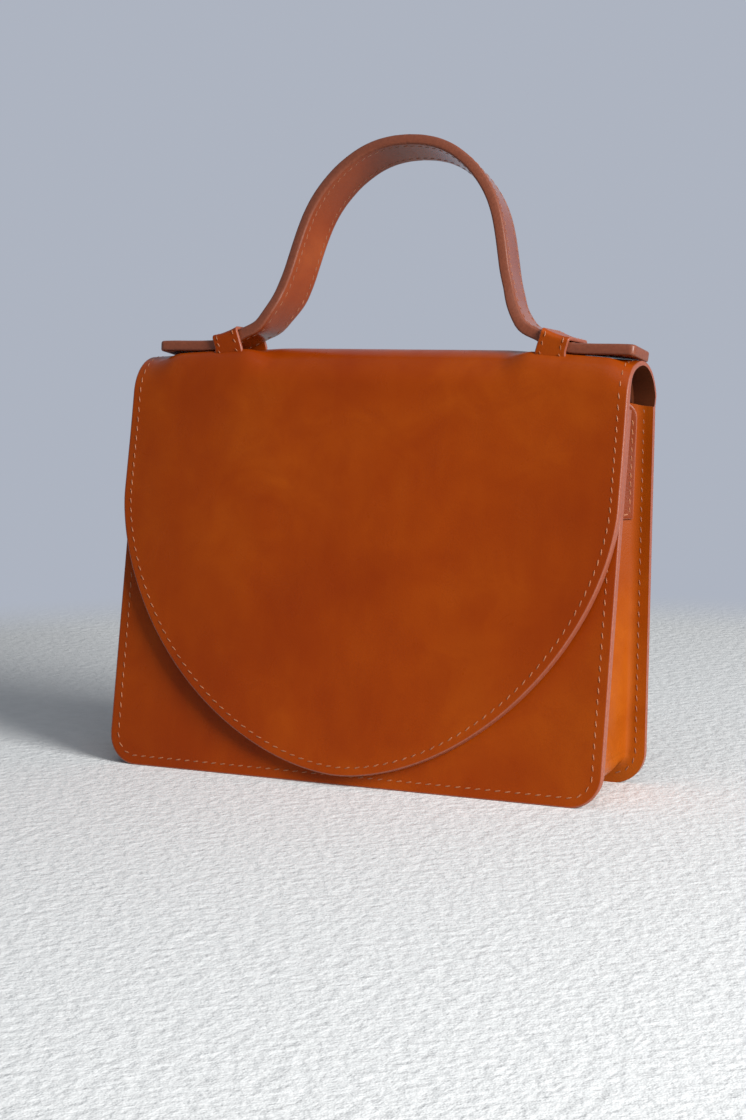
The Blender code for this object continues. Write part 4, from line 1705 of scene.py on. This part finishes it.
@dataclass(frozen=True)
class Studio:
    """The floor, the light and the camera."""

    middle: float
    azimuth: float = math.radians(26.113)
    elevation: float = math.radians(7.04)
    roll: float = math.radians(-0.414)
    distance: float = 0.9423
    aim_across: float = 0.001722
    aim_height: float = 0.0876
    sensor: float = 24.0
    focal_share: float = 2330.0 / 1120.0
    surround: tuple[float, float, float, float] = (0.42, 0.456, 0.533, 1.0)
    ambient: float = 0.25
    floor_radius: float = 6.0
    floor_clear: float = 0.40
    floor_end: float = 0.56
    floor_dark: Triple = (0.74, 0.76, 0.76)
    floor_light: Triple = (0.80, 0.82, 0.82)
    trowel_depth: float = 0.0011

    def floor(self) -> None:
        """A wide pale floor."""
        bm = bmesh.new()
        bmesh.ops.create_circle(bm, cap_ends=True, segments=96, radius=self.floor_radius)
        mesh = bpy.data.meshes.new("floor")
        bm.to_mesh(mesh)
        bm.free()
        mesh.materials.append(self.plaster())
        floor = bpy.data.objects.new("floor", mesh)
        bpy.context.scene.collection.objects.link(floor)

    def plaster(self) -> Material:
        """Pale trowelled plaster, which fades into the surround far from the bag."""
        nodes = Nodes("pale_plaster")
        tone = nodes.noise(120.0, 4.0, 0.6)
        nodes.shade(
            Base_Color=nodes.ramp(tone, ((0.3, self.floor_dark), (0.7, self.floor_light))),
            Roughness=0.9,
            Specular_IOR_Level=0.2,
        )
        nodes.raise_surface((nodes.noise(210.0, 3.0, 0.6), self.trowel_depth))
        reach = nodes.add("ShaderNodeVectorMath", operation="LENGTH")
        nodes.link(nodes.place(), reach.inputs[0])
        fade = nodes.add(
            "ShaderNodeMapRange",
            interpolation_type="SMOOTHSTEP",
            From_Min=self.floor_clear,
            From_Max=self.floor_end,
        )
        nodes.link(reach.outputs["Value"], fade.inputs["Value"])
        glow = nodes.add("ShaderNodeEmission", Color=self.surround)
        nodes.link(self.surround_level(nodes.tree), glow.inputs["Strength"])
        mix = nodes.add("ShaderNodeMixShader")
        nodes.link(fade.outputs["Result"], mix.inputs["Fac"])
        nodes.link(nodes.shader.outputs["BSDF"], mix.inputs[1])
        nodes.link(glow.outputs["Emission"], mix.inputs[2])
        nodes.link(mix.outputs["Shader"], nodes.tree.nodes["Material Output"].inputs["Surface"])
        return nodes.material

    def lamp(
        self,
        name: str,
        place: Triple,
        size: tuple[float, float],
        power: float,
        tint: Triple,
        aim_height: float = 0.1,
    ) -> None:
        """Add a soft rectangular lamp that faces the bag.

        Args:
            name: The lamp's name.
            place: Where it stands.
            size: Its width and height.
            power: Its power in watts.
            tint: Its colour.
            aim_height: The height over the origin that it faces.
        """
        light = bpy.data.lights.new(name, "AREA")
        light.shape = "RECTANGLE"
        light.size, light.size_y = size
        light.energy = power
        light.color = tint
        lamp = bpy.data.objects.new(name, light)
        lamp.location = place
        way = Vector((0, 0, aim_height)) - Vector(place)
        lamp.rotation_euler = way.to_track_quat("-Z", "Y").to_euler()
        bpy.context.scene.collection.objects.link(lamp)

    def surround_level(self, tree: bpy.types.NodeTree) -> Socket:
        """How bright the surround is to a ray: full where it is seen, dim where it lights.

        Args:
            tree: The world's or a material's node tree.

        Returns:
            The strength.
        """
        path = tree.nodes.new("ShaderNodeLightPath")
        seen = path.outputs["Is Camera Ray"]
        for ray in ("Is Glossy Ray", "Is Transmission Ray"):
            either = tree.nodes.new("ShaderNodeMath")
            either.operation = "MAXIMUM"
            tree.links.new(seen, either.inputs[0])
            tree.links.new(path.outputs[ray], either.inputs[1])
            seen = either.outputs["Value"]
        level = tree.nodes.new("ShaderNodeMapRange")
        level.inputs["To Min"].default_value = self.ambient
        tree.links.new(seen, level.inputs["Value"])
        return level.outputs["Result"]

    def lights(self) -> None:
        """A window's soft light from the right, a weak one from above and a pale surround."""
        self.lamp("window", (1.7, -0.62, 0.85), (0.75, 0.95), 60.0, (1.0, 0.985, 0.97))
        self.lamp("sky", (0.3, -0.9, 1.9), (1.6, 1.2), 8.0, (0.96, 0.98, 1.0))
        world = bpy.data.worlds.new("studio")
        bpy.context.scene.world = world
        world.use_nodes = True
        tree = world.node_tree
        around = tree.nodes["Background"]
        around.inputs["Color"].default_value = self.surround
        tree.links.new(self.surround_level(tree), around.inputs["Strength"])

    def camera(self) -> None:
        """The camera at the photograph's viewing angle."""
        level = math.cos(self.elevation)
        right = Vector((math.cos(self.azimuth), math.sin(self.azimuth), 0.0))
        back = Vector(
            (
                math.sin(self.azimuth) * level,
                -math.cos(self.azimuth) * level,
                math.sin(self.elevation),
            )
        )
        aim = right * self.aim_across + Vector((0, self.middle, self.aim_height))
        up = back.cross(right)
        turned = Matrix((right, up, back)).transposed() @ Matrix.Rotation(self.roll, 3, "Z")
        data = bpy.data.cameras.new("camera")
        data.sensor_fit = "VERTICAL"
        data.sensor_height = self.sensor
        data.lens = self.focal_share * self.sensor
        camera = bpy.data.objects.new("camera", data)
        camera.matrix_world = Matrix.Translation(aim + back * self.distance) @ turned.to_4x4()
        bpy.context.scene.collection.objects.link(camera)
        bpy.context.scene.camera = camera

    def build(self) -> None:
        """Set the studio up."""
        self.camera()
        self.floor()
        self.lights()
        bpy.context.scene.view_settings.view_transform = "Standard"


def dress_kept_nodes(nodes: dict[str, Piece], finishes: Finishes) -> None:
    """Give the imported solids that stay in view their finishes.

    Args:
        nodes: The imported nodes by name.
        finishes: The bag's materials.
    """
    kept = {
        "front_lining": finishes.lining,
        "back_lining": finishes.lining,
        "front_magnet": finishes.nickel,
        "flap_magnet": finishes.nickel,
    }
    for name, material in kept.items():
        for slot in nodes[name].material_slots:
            slot.material = material
        LOG.info("%s dressed", name)


def main() -> None:
    """Load the frame, dress the bag, and set the scene."""
    logging.basicConfig(level=logging.INFO, format="%(message)s")
    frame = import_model()
    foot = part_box("front_panel")[0].y
    hide = Hide(middle=foot + Hide.base_depth / 2)
    finishes = Finishes()
    Studio(hide.middle).build()
    dress_kept_nodes(frame["nodes"], finishes)
    Body(hide, finishes).build()
    Gusset(hide, finishes).build()
    Handle(hide, finishes).build()


if __name__ == "__main__":
    main()
